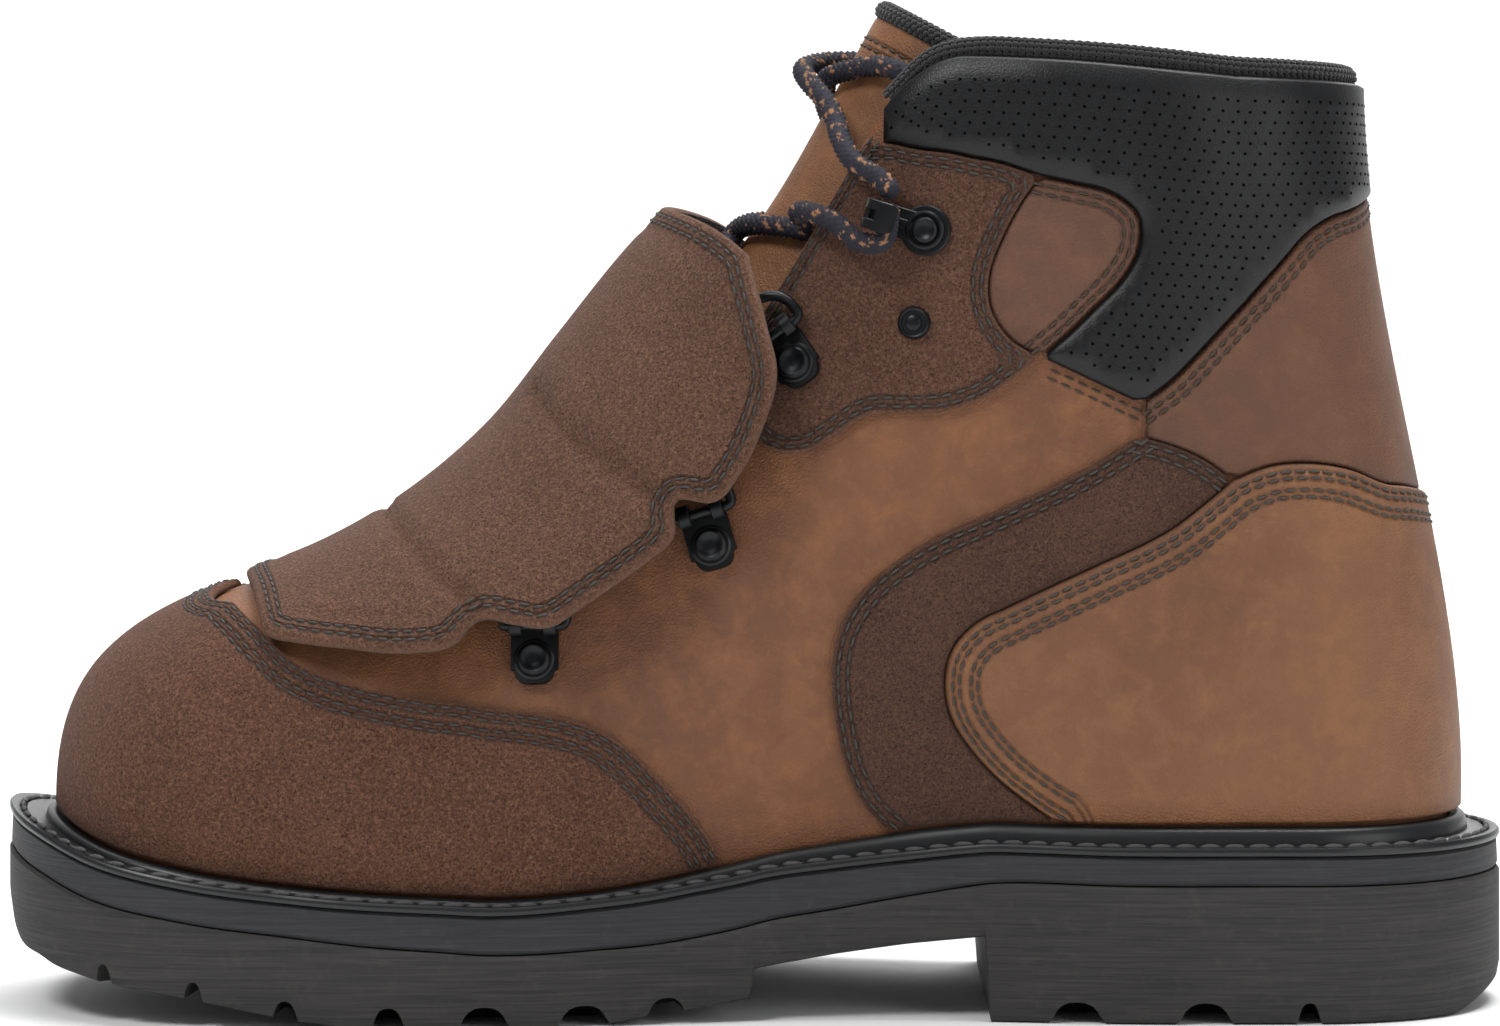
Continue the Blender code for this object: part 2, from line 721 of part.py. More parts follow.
def welt():
    """A strip round the sole's edge, with a raised roll against the upper."""
    mesh_rings = []
    for u in SOLE_STATIONS + [-s for s in reversed(SOLE_STATIONS[1:-1])]:
        x, y, ahead, across, station, side = rib(u)
        edge_reach = float(sole_reach(station, side))
        foot = float(feather_reach(station, side))
        roll = float(roll_height(station))
        inner = foot + 2 * GAP
        ring = []
        for reach, lift in (
            (edge_reach, -WELT_THICKNESS),
            (edge_reach, 0),
            (inner + ROLL_WIDTH, 0),
            (inner + ROLL_WIDTH * 0.80, roll * 0.80),
            (inner + ROLL_WIDTH * 0.35, roll),
            (inner, roll * 0.75),
            (inner, 0),
            (inner - FLANGE, 0),
            (inner - FLANGE, -WELT_THICKNESS),
        ):
            at = float(x + ahead * reach)
            ring.append((at, float(y + across * reach), welt_top(at) + lift))
        mesh_rings.append(ring)
    return loft("welt", mesh_rings, "welt_rubber", closed=True)


def insole():
    def ring(lift):
        points = []
        for u in SOLE_STATIONS + [-s for s in reversed(SOLE_STATIONS[1:-1])]:
            x, y, ahead, across, station, side = rib(u)
            reach = float(feather_reach(station, side)) - WALL - 0.0006
            at = float(x + ahead * reach)
            points.append((at, float(y + across * reach), welt_top(at) + lift))
        return points

    return layered("insole", [ring(GAP + INSOLE_THICKNESS), ring(GAP)], "insole_cloth")


# Upper

UPPER_STATIONS = (
    list(np.linspace(0, TOE_TURN, 7))
    + [0.235, 0.27, 0.295, 0.3025, 0.31, 0.33, 0.36, 0.40, 0.44, 0.48, 0.52, 0.555]
    + [0.58, 0.605, 0.635, 0.68, 0.735, 0.785]
    + list(np.linspace(HEEL_TURN, 1, 6))
)
UPPER_LEVELS = (0, 0.10, 0.22, 0.36, 0.50, 0.64, 0.78, 0.90, 1)


def upper():
    """The one hollow wall, open underneath, at the throat and at the collar."""
    mesh = bmesh.new()
    ring = UPPER_STATIONS + [-s for s in reversed(UPPER_STATIONS[1:-1])]
    faces_of = []
    for inwards in (0.0, -WALL):
        rows = []
        for u in ring:
            column = [offset(on_upper, u, v, inwards) for v in UPPER_LEVELS]
            x = rib(u)[0]
            if read(TOPLINE, "half", share(x)) == 0:
                column[-1] = ridge_point(x) + np.array([0, 0, inwards * 1.05])
            if inwards:
                column[0] = (on_upper(u, 0) - heading(u) * WALL) * (1, 1, 0) + (0, 0, on_upper(u, 0)[2])
            rows.append([mesh.verts.new(p) for p in column])
        faces_of.append(rows)
    count = len(ring)
    for rows in faces_of:
        for i in range(count):
            one, other = rows[i], rows[(i + 1) % count]
            for k in range(len(UPPER_LEVELS) - 1):
                mesh.faces.new([one[k], other[k], other[k + 1], one[k + 1]])
    outer, inner = faces_of
    for i in range(count):
        j = (i + 1) % count
        mesh.faces.new([outer[i][0], inner[i][0], inner[j][0], outer[j][0]])
        if is_open(ring[i]) or is_open(ring[j]):
            mesh.faces.new([outer[i][-1], outer[j][-1], inner[j][-1], inner[i][-1]])
    bmesh.ops.remove_doubles(mesh, verts=mesh.verts, dist=5e-6)
    return finish("upper", mesh, "oiled_leather")


def heading(u):
    _, _, ahead, across, _, _ = rib(u)
    return np.array([float(ahead), float(across), 0])


def is_open(u):
    return float(read(TOPLINE, "half", share(rib(u)[0]))) > 0


def ridge_point(x):
    return np.array([float(x), float(spine(x)), float(BOOT_HEIGHT * read(TOPLINE, "height", share(x)))])


# Overlays. Each outline is in side view, in shares of the length and of the boot's height.

CAP_EDGE = (
    (0.158, 0.412), (0.172, 0.394), (0.200, 0.360), (0.234, 0.341), (0.285, 0.326),
    (0.340, 0.317), (0.380, 0.308), (0.408, 0.290), (0.435, 0.252), (0.463, 0.203), (0.478, 0.165),
)
BAND_FRONT = (
    (0.590, 0.188), (0.565, 0.235), (0.552, 0.315), (0.553, 0.385), (0.572, 0.440),
    (0.612, 0.487), (0.670, 0.528), (0.716, 0.563), (0.752, 0.597),
)
BAND_TOP = ((0.752, 0.597), (0.786, 0.580), (0.813, 0.552))
COUNTER_FRONT = (
    (0.700, 0.200), (0.660, 0.246), (0.632, 0.300), (0.625, 0.345), (0.634, 0.392),
    (0.660, 0.418), (0.716, 0.460), (0.770, 0.500), (0.813, 0.552),
)
COUNTER_TOP = ((0.813, 0.552), (0.838, 0.566), (0.862, 0.568), (0.890, 0.560), (0.910, 0.545))
PAD_LOW = ((0.752, 0.630), (0.770, 0.650), (0.800, 0.697), (0.840, 0.765), (0.866, 0.812))
TAB_REAR = (
    (0.687, 0.862), (0.722, 0.850), (0.744, 0.836), (0.753, 0.806), (0.744, 0.765),
    (0.722, 0.728), (0.697, 0.690), (0.687, 0.678),
)
PAD_NOSE = ((0.687, 0.678), (0.718, 0.655), (0.752, 0.630))
STAY_TOP = ((0.582, 0.893), (0.624, 0.886), (0.660, 0.876), (0.687, 0.862))
STAY_REAR = (
    (0.687, 0.862), (0.670, 0.822), (0.658, 0.780), (0.653, 0.745), (0.662, 0.705), (0.687, 0.678),
)
STAY_LOW = (
    (0.687, 0.678), (0.664, 0.650), (0.636, 0.626), (0.600, 0.620), (0.572, 0.616), (0.548, 0.590),
    (0.525, 0.575), (0.507, 0.584), (0.492, 0.605),
)


def hem(start, end, lift, spacing=EDGE_STEP):
    """A stretch along the welt's roll, from one station to another."""
    stations = np.linspace(start, end, max(2, round(abs(end - start) * 0.33 / spacing) + 1))
    return np.stack([stations, [rolled(u, lift) for u in stations]], axis=1)


def rolled(u, lift):
    """The level at which the upper's face leaves the roll at station u."""
    x, y, ahead, across, station, side = rib(u)
    levels = np.linspace(0, 0.4, 161)
    faces = on_upper(np.full_like(levels, u), levels)
    crest = welt_height(x + ahead * (feather_reach(station, side) + ROLL_WIDTH / 2))
    wanted = crest + roll_height(station) + lift
    return float(np.interp(wanted, faces[:, 2], levels))


def centre(u, height):
    """The level on the centre line at u where the surface stands this high, in shares of the boot."""
    levels = np.linspace(0, 1, 401)
    return float(np.interp(height * BOOT_HEIGHT, on_upper(np.full_like(levels, u), levels)[:, 2], levels))


def toe_cap():
    spacing = 0.011
    side = edge(on_upper, MEDIAL, CAP_EDGE)
    top = np.array([[0.0, centre(0.0, 0.427)]])
    base = hem(side[-1][0], -side[-1][0], 0.0006)
    side[-1][1] = base[0][1]
    outline = outline_of(top, side, base[1:-1], mirrored(side))
    return panel(
        "toe_cap", on_upper, outline, seated, evenly(GAP + CAP_THICKNESS), spacing, "suede"
    )


def sided(points, side):
    """Panel stretches are worked out on the medial side and turned over for the lateral."""
    return points if side == MEDIAL else np.stack([2 - points[:, 0], points[:, 1]], axis=1)


def saddle_band(side, name):
    spacing = 0.008
    front = edge(on_upper, side, BAND_FRONT[::-1])
    counter = edge(on_upper, side, COUNTER_FRONT)
    top = edge(on_upper, side, BAND_TOP)
    base = hem(front[-1][0], counter[0][0], 0.0006)
    front[-1][1] = base[0][1]
    counter[0][1] = base[-1][1]
    outline = outline_of(front, base[1:-1], counter, top[::-1])
    return panel(
        name, on_upper, outline, seated, evenly(GAP + BAND_THICKNESS), spacing, "band_leather"
    )


def to_the_back(stretch, height):
    """A medial stretch led on to the heel's back at this height."""
    end = (1.0, centre(1.0, height))
    return np.vstack([stretch, straight(stretch[-1], end, on_upper)[1:]])


def across_the_back(stretch):
    """The lateral twin of a medial stretch, run on from the heel's back."""
    return np.stack([2 - stretch[::-1, 0], stretch[::-1, 1]], axis=1)


def heel_counter():
    spacing = 0.011
    front = edge(on_upper, MEDIAL, COUNTER_FRONT)
    top = edge(on_upper, MEDIAL, COUNTER_TOP)
    base = hem(2 - front[0][0], front[0][0], 0.0006)
    front[0][1] = base[0][1]
    medial = to_the_back(np.vstack([front, top[1:]]), 0.526)
    outline = outline_of(medial, across_the_back(medial), base[1:-1])
    return panel(
        "heel_counter", on_upper, outline, seated, evenly(GAP + COUNTER_THICKNESS), spacing, "oiled_leather"
    )


def eyestay(side, name):
    spacing = 0.007
    top = edge(on_upper, side, STAY_TOP)
    rear = edge(on_upper, side, STAY_REAR)
    low = edge(on_upper, side, STAY_LOW)
    throat = straight((low[-1][0], 0.99), (top[0][0], 0.99), on_upper)
    outline = outline_of(throat, top, rear, low)
    return panel(
        name, on_upper, outline, seated, evenly(GAP + EYESTAY_THICKNESS), spacing, "suede"
    )


def ankle_tab(side, name):
    spacing = 0.008
    front = edge(on_upper, side, STAY_REAR)
    rear = edge(on_upper, side, TAB_REAR)
    outline = outline_of(front, rear[::-1])
    return panel(
        name, on_upper, outline, seated, evenly(GAP + TAB_THICKNESS), spacing, "tab_leather"
    )


def collar_pad():
    spacing = 0.0095
    low = edge(on_upper, MEDIAL, PAD_LOW)
    nose = edge(on_upper, MEDIAL, PAD_NOSE)
    tab = edge(on_upper, MEDIAL, TAB_REAR)
    stay = edge(on_upper, MEDIAL, STAY_TOP)
    medial = to_the_back(np.vstack([[stay[0][0], 0.995], stay, tab[1:], nose[1:], low[1:]]), 0.842)
    rim = straight((2 - stay[0][0], 0.995), (stay[0][0], 0.995), on_upper)
    outline = outline_of(medial, across_the_back(medial), rim[1:-1])
    return panel(
        "collar_pad",
        on_upper,
        outline,
        seated,
        crowned(GAP + 0.0012, GAP + PAD_THICKNESS, 0.014),
        spacing,
        "black_padding",
    )


def heel_quarter():
    spacing = 0.009
    low = to_the_back(edge(on_upper, MEDIAL, PAD_LOW), 0.842)
    strip = edge(on_upper, MEDIAL, BAND_TOP)
    counter = to_the_back(edge(on_upper, MEDIAL, COUNTER_TOP), 0.526)
    medial = np.vstack([low[::-1], strip, counter[1:]])
    outline = outline_of(medial, across_the_back(medial))
    return panel(
        "heel_quarter", on_upper, outline, seated, evenly(GAP + QUARTER_THICKNESS), spacing, "tab_leather"
    )


def collar_binding():
    """A knit roll over the collar's top edge, from throat to throat round the heel."""
    stations = [u for u in UPPER_STATIONS if u > 0.57]
    points = []
    for u in stations + [2 - u for u in reversed(stations[:-1])]:
        rim = offset(on_upper, u, 1.0, -WALL / 2)
        below = offset(on_upper, u, 0.97, -WALL / 2)
        up = (rim - below) / np.linalg.norm(rim - below)
        points.append(rim + up * (BINDING_RADIUS + 0.0008))
    return tube("collar_binding", points, BINDING_RADIUS, "knit")


def tongue():
    spacing = 0.012
    outline = outline_of(
        straight((0.03, 0.97), (0.93, 0.97), on_tongue),
        rounded([(0.93, 0.97), (0.985, 0.75), (0.995, 0.40), (0.995, 0), (0.995, -0.40), (0.985, -0.75), (0.93, -0.97)], 9),
        straight((0.93, -0.97), (0.03, -0.97), on_tongue),
        straight((0.03, -0.97), (0.03, 0.97), on_tongue),
    )
    return panel(
        "tongue",
        on_tongue,
        outline,
        crowned(-0.0022, -TONGUE_THICKNESS, 0.012),
        evenly(0.0),
        spacing,
        "tab_leather",
    )


def tongue_binding():
    """A knit roll over the tongue's top edge."""
    points = []
    for b in np.linspace(-0.72, 0.72, 15):
        rim = offset(on_tongue, 0.995, b, -0.0011)
        below = offset(on_tongue, 0.96, b, -0.0011)
        up = (rim - below) / np.linalg.norm(rim - below)
        points.append(rim + up * (BINDING_RADIUS + 0.0008))
    return tube("tongue_binding", points, BINDING_RADIUS, "knit")


GUARD_EDGE = (
    (0.178, 0.396), (0.196, 0.391), (0.218, 0.388), (0.255, 0.382), (0.290, 0.384), (0.310, 0.396), (0.322, 0.418),
    (0.340, 0.414), (0.354, 0.402), (0.376, 0.418), (0.410, 0.453), (0.440, 0.488), (0.450, 0.510),
    (0.449, 0.538), (0.475, 0.536), (0.494, 0.575), (0.508, 0.625), (0.512, 0.668), (0.504, 0.720),
    (0.494, 0.785),
)


def metatarsal_guard():
    spacing = 0.010
    medial = edge(on_guard, MEDIAL, GUARD_EDGE, 0.006)
    lateral = np.stack([medial[::-1, 0], -medial[::-1, 1]], axis=1)
    top = rounded([medial[-1], (0.905, -0.42), (0.862, 0), (0.905, 0.42), lateral[0]], 11)
    base = rounded([lateral[-1], (0.030, 0.45), (0.016, 0), (0.030, -0.45), medial[0]], 9)
    outline = outline_of(medial, top[1:-1], lateral, base[1:-1])

    def underside(u, v, depth):
        thin = np.clip(u / 0.45, 0, 1)
        full = 0.0030 + (GUARD_THICKNESS - 0.0030) * thin
        return -(0.0022 + (full - 0.0022) * np.sin(np.clip(depth / 0.010, 0, 1) * math.pi / 2))

    return panel("metatarsal_guard", on_guard, outline, underside, evenly(0.0), spacing, "suede")


# Hardware. Rivets are placed by side-view shares, then leaned back towards the toe by degrees. The last
# value of a ring is how thick the leather is that lies between it and the upper.

RINGS = (
    (0.357, 0.366, 0.0, 0.0006),
    (0.473, 0.483, 16.0, 0.0006),
    (0.529, 0.668, 35.0, EYESTAY_THICKNESS + GAP),
)
HOOK = (0.614, 0.806, 73.0)
STUD = (0.606, 0.712)


def seat(side, along, height, lift):
    """A frame on the upper's face: its point, the way out, up along the face and across."""
    u, v = locate(on_upper, side, [((along - 0.5) * LENGTH, height * BOOT_HEIGHT)])[0]
    point = Vector(offset(on_upper, u, v, lift))
    out = (point - Vector(offset(on_upper, u, v, 0.0))).normalized()
    across = Vector((1, 0, 0))
    across = (across - out * across.dot(out)).normalized()
    up = out.cross(across)
    if up.z < 0:
        up = -up
    return point, out, up, across


def turned_about(frame, degrees):
    """The frame with its up leaned back towards the toe by this much."""
    point, out, up, across = frame
    angle = math.radians(degrees)
    new_up = up * math.cos(angle) - across * math.sin(angle)
    new_across = across * math.cos(angle) + up * math.sin(angle)
    return point, out, new_up, new_across


def block(name, frame, outline, low, high, material, helper=False, taper=1.0):
    """A plate on a frame: outline in across and up, between two heights above it."""
    point, out, up, across = frame
    rings = []
    for height, size in ((low, 1.0), (high, taper)):
        rings.append([point + across * (a * size) + up * (b * size) + out * height for a, b in outline])
    return loft(name, rings, material, helper)


def disc(radius, sides=12):
    return [
        (radius * math.cos(2 * math.pi * k / sides), radius * math.sin(2 * math.pi * k / sides))
        for k in range(sides)
    ]


def d_ring(side, number, label):
    along, height, lean, under = RINGS[number]
    frame = turned_about(seat(side, along, height, GAP + under), lean)
    point, out, up, across = frame
    half = PLATE_WIDTH / 2
    bar = 0.0068
    plate_outline = [(-half * 0.75, -0.0048), (half * 0.75, -0.0048), (half, -0.003), (half, bar + 0.0026), (-half, bar + 0.0026), (-half, -0.003)]
    plate = block(f"ring_plate_{label}", frame, plate_outline, 0.0, PLATE_THICKNESS, "black_metal")
    wide = half + 0.0003
    knuckle_outline = [(-wide, bar - 0.0029), (wide, bar - 0.0029), (wide, bar + 0.0029), (-wide, bar + 0.0029)]
    knuckle = block("knuckle", frame, knuckle_outline, 0.0003, 0.0054, None, helper=True)
    dome_height = PLATE_THICKNESS + 0.0014
    dome = block("dome", frame, disc(RIVET_RADIUS), 0.0005, dome_height, None, helper=True, taper=0.72)
    combine(plate, [knuckle, dome], "UNION")
    axis_height = 0.0027
    centre_point = point + up * bar + out * axis_height
    bore = tube("bore", [centre_point - across * 0.01, centre_point + across * 0.01], RING_WIRE + 0.00035, None, sides=10, helper=True)
    combine(plate, [bore], "DIFFERENCE")
    wire = []
    reach = RING_WIDTH / 2
    tilt = up * math.cos(RING_LEAN) + out * math.sin(RING_LEAN)
    corners = [(-reach, 0.0)] + [
        (-reach * math.cos(t), RING_DEPTH * (0.35 + 0.65 * math.sin(t))) for t in np.linspace(0.12, math.pi - 0.12, 9)
    ] + [(reach, 0.0)]
    for a, b in corners:
        wire.append(centre_point + across * a + tilt * b)
    ring = closed_tube(f"ring_wire_{label}", wire, RING_WIRE, "black_metal")
    return plate, ring


def closed_tube(name, points, radius, material, sides=6):
    """A wire bent into a closed loop."""
    count = len(points)
    normal = (points[1] - points[0]).cross(points[count // 2] - points[0]).normalized()
    rings = []
    for i, point in enumerate(points):
        run = (points[(i + 1) % count] - points[i - 1]).normalized()
        side = run.cross(normal).normalized()
        rings.append(
            [
                point + radius * (math.cos(2 * math.pi * k / sides) * normal + math.sin(2 * math.pi * k / sides) * side)
                for k in range(sides)
            ]
        )
    return loft(name, rings, material, closed=True)


def lace_hook(side, label):
    lift = GAP + EYESTAY_THICKNESS + GAP
    along, height, lean = HOOK
    frame = turned_about(seat(side, along, height, lift), lean)
    point, out, up, across = frame
    base = block(f"lace_hook_{label}", frame, disc(WASHER_RADIUS, 14), 0.0, 0.0012, "black_metal", taper=0.94)
    dome = block("dome", frame, disc(0.0031, 10), 0.0006, 0.0026, None, helper=True, taper=0.7)
    path = [(0.0022, 0.0008), (0.0062, 0.0010), (0.0096, 0.0018), (0.0118, 0.0050), (0.0110, 0.0080), (0.0080, 0.0092), (0.0050, 0.0088)]
    rings = []
    for i, (b, c) in enumerate(path):
        before, after = path[max(i - 1, 0)], path[min(i + 1, len(path) - 1)]
        run = (up * (after[0] - before[0]) + out * (after[1] - before[1])).normalized()
        thick = run.cross(across).normalized()
        width = HOOK_WIDTH / 2 * (0.8 if i in (0, len(path) - 1) else 1.0)
        spot = point + up * b + out * c
        half = HOOK_THICKNESS / 2
        rings.append([spot - across * width - thick * half, spot + across * width - thick * half, spot + across * width + thick * half, spot - across * width + thick * half])
    arm = loft("arm", rings, None, helper=True)
    combine(base, [dome, arm], "UNION")
    return base


def stud(side, label):
    frame = seat(side, *STUD, GAP + EYESTAY_THICKNESS + GAP)
    return block(f"stud_{label}", frame, disc(STUD_RADIUS, 10), 0.0, 0.0016, "black_metal", taper=0.62)


# Laces. Their route's own points are chosen by hand: a and b on the tongue, or shares of the length and
# of the boot's height with the distance from the spine in metres.

WEAVE = (
    (0.10, 0.58), (0.17, 0.0), (0.24, -0.58), (0.31, 0.0), (0.38, 0.58), (0.45, 0.0), (0.52, -0.58), (0.645, 0.0),
    (0.722, 0.54),
)
TO_HOOK = ((0.528, 0.826, 0.0262), (0.552, 0.816, 0.0350))
TO_CREST = ((0.576, 0.8605, 0.0355), (0.564, 0.8800, 0.0328), (0.557, 0.8990, 0.0272))
FREE_RUNS = {
    MEDIAL: (
        (0.5530, 0.9230, 0.0190), (0.5440, 0.9455, 0.0125), (0.5335, 0.9640, 0.0050), (0.5395, 0.9760, -0.0030),
        (0.5800, 0.9780, -0.0140), (0.5960, 0.9725, -0.0210), (0.6170, 0.9500, -0.0232),
    ),
    LATERAL: (
        (0.5520, 0.9180, 0.0190), (0.5480, 0.9360, 0.0125), (0.5487, 0.9540, 0.0030), (0.5526, 0.9645, -0.0050),
        (0.5780, 0.9740, -0.0140), (0.5946, 0.9700, -0.0210), (0.6170, 0.9500, -0.0232),
    ),
}


def place(along, height, across, side):
    x = LENGTH * (along - 0.5)
    return Vector((x, float(spine(x)) + side * across, BOOT_HEIGHT * height))


def smoothed(points, step):
    """A smooth curve through these points, with one point each step."""
    points = np.array([tuple(p) for p in points])
    length = np.linalg.norm(np.diff(points, axis=0), axis=1).sum()
    return [Vector(p) for p in rounded(points, max(3, round(length / step)))]


def hook_run(side):
    """The lace's way through the hook: its middle and its heading."""
    point, out, up, across = turned_about(seat(side, *HOOK[:2], GAP + EYESTAY_THICKNESS + GAP), HOOK[2])
    return point + up * 0.0076 + out * 0.0056, across


def strand(side):
    """One lace from the lowest crossing to its hook. It starts and ends on the same side."""
    clear = LACE_RADIUS + 0.0007
    size = np.array([0.15, 0.035])
    over = rounded(np.array(WEAVE) * size, 38) / size
    points = [Vector(offset(on_tongue, a, side * b, clear)) for a, b in over]
    middle, heading_up = hook_run(side)
    last = [place(*spot, side) for spot in TO_HOOK] + [middle - heading_up * 0.0068, middle + heading_up * 0.0030]
    return points + smoothed(points[-1:] + last, 0.006)[1:]


def lace_bars():
    """The crossings under the guard, joined where the two strands meet."""
    bars = tube("lace_bars", strand(MEDIAL), LACE_RADIUS, "lace_cord", sides=6)
    other = tube("strand", strand(LATERAL), LACE_RADIUS * 0.97, None, sides=6, helper=True)
    combine(bars, [other], "UNION")
    return bars


def lace_end(side, label):
    """A free end: up from its hook, over the tongue's front and in behind the far collar edge."""
    middle, heading_up = hook_run(side)
    route = [middle + heading_up * 0.0050, middle + heading_up * 0.0080]
    route += [place(*spot, side) for spot in TO_CREST + FREE_RUNS[side]]
    curve = bpy.data.curves.new(f"lace_end_{label}", "CURVE")
    curve.dimensions = "3D"
    curve.bevel_depth = LACE_RADIUS
    curve.bevel_resolution = 2
    curve.use_fill_caps = True
    line = curve.splines.new("POLY")
    points = smoothed(route, 0.0072)
    line.points.add(len(points) - 1)
    for knot, point in zip(line.points, points):
        knot.co = (*point, 1)
    curve.materials.append(material_of("lace_cord", curve.name))
    obj = bpy.data.objects.new(curve.name, curve)
    bpy.context.collection.objects.link(obj)
    return obj


def main():
    for obj in list(bpy.data.objects):
        bpy.data.objects.remove(obj)
    outsole()
    midsole()
    welt()
    insole()
    upper()
    toe_cap()
    heel_counter()
    heel_quarter()
    collar_pad()
    for side, label in ((MEDIAL, "medial"), (LATERAL, "lateral")):
        saddle_band(side, f"saddle_band_{label}")
        eyestay(side, f"eyestay_{label}")
        ankle_tab(side, f"ankle_tab_{label}")
        lace_hook(side, label)
        stud(side, label)
        for number in range(len(RINGS)):
            d_ring(side, number, f"{label}_{number + 1}")
    collar_binding()
    tongue()
    tongue_binding()
    metatarsal_guard()
    lace_bars()
    lace_end(MEDIAL, "medial")
    lace_end(LATERAL, "lateral")


main()
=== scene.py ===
"""Looks of the metatarsal guard boot: a right boot in suede and oiled leather on a lugged rubber sole.

The CAD frame is loaded first. Each section then makes one piece or group of like pieces around it, in
the order in which a bootmaker puts them together. The toe points along -X and the medial side along -Y.
"""

import json
import math
import random

import bmesh
import bpy
import numpy as np
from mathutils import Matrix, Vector
from mathutils.geometry import delaunay_2d_cdt

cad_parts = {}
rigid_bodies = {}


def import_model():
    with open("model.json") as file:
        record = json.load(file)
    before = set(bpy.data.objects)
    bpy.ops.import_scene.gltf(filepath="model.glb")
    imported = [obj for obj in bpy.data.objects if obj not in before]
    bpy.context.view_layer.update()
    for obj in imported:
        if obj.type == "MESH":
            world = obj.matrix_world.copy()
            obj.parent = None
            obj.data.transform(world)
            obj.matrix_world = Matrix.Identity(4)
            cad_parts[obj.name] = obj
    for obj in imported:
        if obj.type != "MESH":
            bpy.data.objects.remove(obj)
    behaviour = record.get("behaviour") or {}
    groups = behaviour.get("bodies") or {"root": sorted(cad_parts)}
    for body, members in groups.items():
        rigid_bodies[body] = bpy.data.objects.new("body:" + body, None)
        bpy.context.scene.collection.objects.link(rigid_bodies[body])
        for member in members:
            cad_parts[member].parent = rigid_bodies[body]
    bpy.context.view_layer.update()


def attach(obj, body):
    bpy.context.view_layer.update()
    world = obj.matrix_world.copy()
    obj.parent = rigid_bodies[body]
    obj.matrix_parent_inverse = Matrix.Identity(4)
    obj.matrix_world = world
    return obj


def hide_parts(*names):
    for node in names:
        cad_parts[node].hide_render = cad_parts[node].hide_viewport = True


for startup in list(bpy.data.objects):
    bpy.data.objects.remove(startup)
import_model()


# Insole
# A fibre board faced in woven cloth and die-cut to the last's underside. It lies on the feather, a little
# inside the upper's wall. Stations run round the sole, in fans about the toe and the heel.

LENGTH = 0.312
BALL_WIDTH = 0.114
HEEL_WIDTH = 0.081
HEEL_HEIGHT = 0.0343
WALL = 0.0025
WELT_THICKNESS = 0.0016
INSOLE_THICKNESS = 0.003
GAP = 0.0003
TOE_TURN = 0.20
HEEL_TURN = 0.83
MEDIAL, LATERAL = -1, 1
SIDES = ((MEDIAL, "medial"), (LATERAL, "lateral"))


def table(columns, *rows):
    """A table with named columns, the first of which it is read along."""
    return dict(zip(columns.split(), np.array(rows, float).T))


PLAN = table(
    "around medial lateral rear margin",
    (0.00, 0.491, 0.491, 0.00, 0.0120),
    (0.10, 0.478, 0.469, 0.00, 0.0108),
    (0.20, 0.430, 0.465, 0.00, 0.0092),
    (0.25, 0.439, 0.524, 0.00, 0.0088),
    (0.30, 0.437, 0.557, 0.00, 0.0085),
    (0.36, 0.419, 0.568, 0.00, 0.0085),
    (0.43, 0.410, 0.592, 0.25, 0.0085),
    (0.51, 0.407, 0.600, 0.55, 0.0085),
    (0.59, 0.424, 0.581, 0.80, 0.0085),
    (0.67, 0.483, 0.562, 1.00, 0.0085),
    (0.75, 0.507, 0.514, 1.00, 0.0085),
    (0.83, 0.500, 0.494, 1.00, 0.0085),
    (0.915, 0.525, 0.512, 1.00, 0.0095),
    (1.00, 0.543, 0.543, 1.00, 0.0110),
)
SIDE = table(
    "along top ground layer",
    (0.000, 1.166, 0.641, 1.15),
    (0.006, 1.140, 0.500, 1.15),
    (0.032, 1.050, 0.335, 1.15),
    (0.060, 0.956, 0.270, 1.15),
    (0.128, 0.822, 0.175, 1.10),
    (0.206, 0.735, 0.041, 1.12),
    (0.250, 0.705, 0.000, 1.20),
    (0.295, 0.685, 0.000, 1.26),
    (0.330, 0.668, 0.000, 1.30),
    (0.390, 0.700, 0.000, 1.38),
    (0.433, 0.740, 0.050, 1.46),
    (0.459, 0.780, 0.085, 1.50),
    (0.497, 0.842, 0.145, 1.46),
    (0.501, 0.850, 0.320, 1.45),
    (0.554, 0.915, 0.400, 1.35),
    (0.600, 0.962, 0.457, 1.20),
    (0.652, 1.012, 0.505, 1.05),
    (0.655, 1.014, 0.000, 1.04),
    (0.750, 1.000, 0.000, 1.00),
    (0.955, 1.000, 0.000, 1.00),
    (1.000, 1.000, 0.160, 1.00),
)


def read(rows, column, at, level=False):
    """A table's column as a smooth curve at these places. Level curves end flat."""
    keys = next(iter(rows.values()))
    values = rows[column]
    steps = np.diff(keys)
    slopes = np.diff(values) / steps
    tangents = np.empty_like(values)
    tangents[1:-1] = slopes[:-1] * steps[1:] + slopes[1:] * steps[:-1]
    tangents[1:-1] /= steps[:-1] + steps[1:]
    tangents[1:-1] *= slopes[:-1] * slopes[1:] > 0
    tangents[0], tangents[-1] = (0, 0) if level else (slopes[0], slopes[-1])
    at = np.clip(np.asarray(at, float), keys[0], keys[-1])
    i = np.clip(np.searchsorted(keys, at) - 1, 0, len(steps) - 1)
    w = (at - keys[i]) / steps[i]
    rise = values[i + 1] - values[i]
    bend = tangents[i] * steps[i] * w * (1 - w) ** 2 - tangents[i + 1] * steps[i] * w**2 * (1 - w)
    return values[i] + rise * w**2 * (3 - 2 * w) + bend


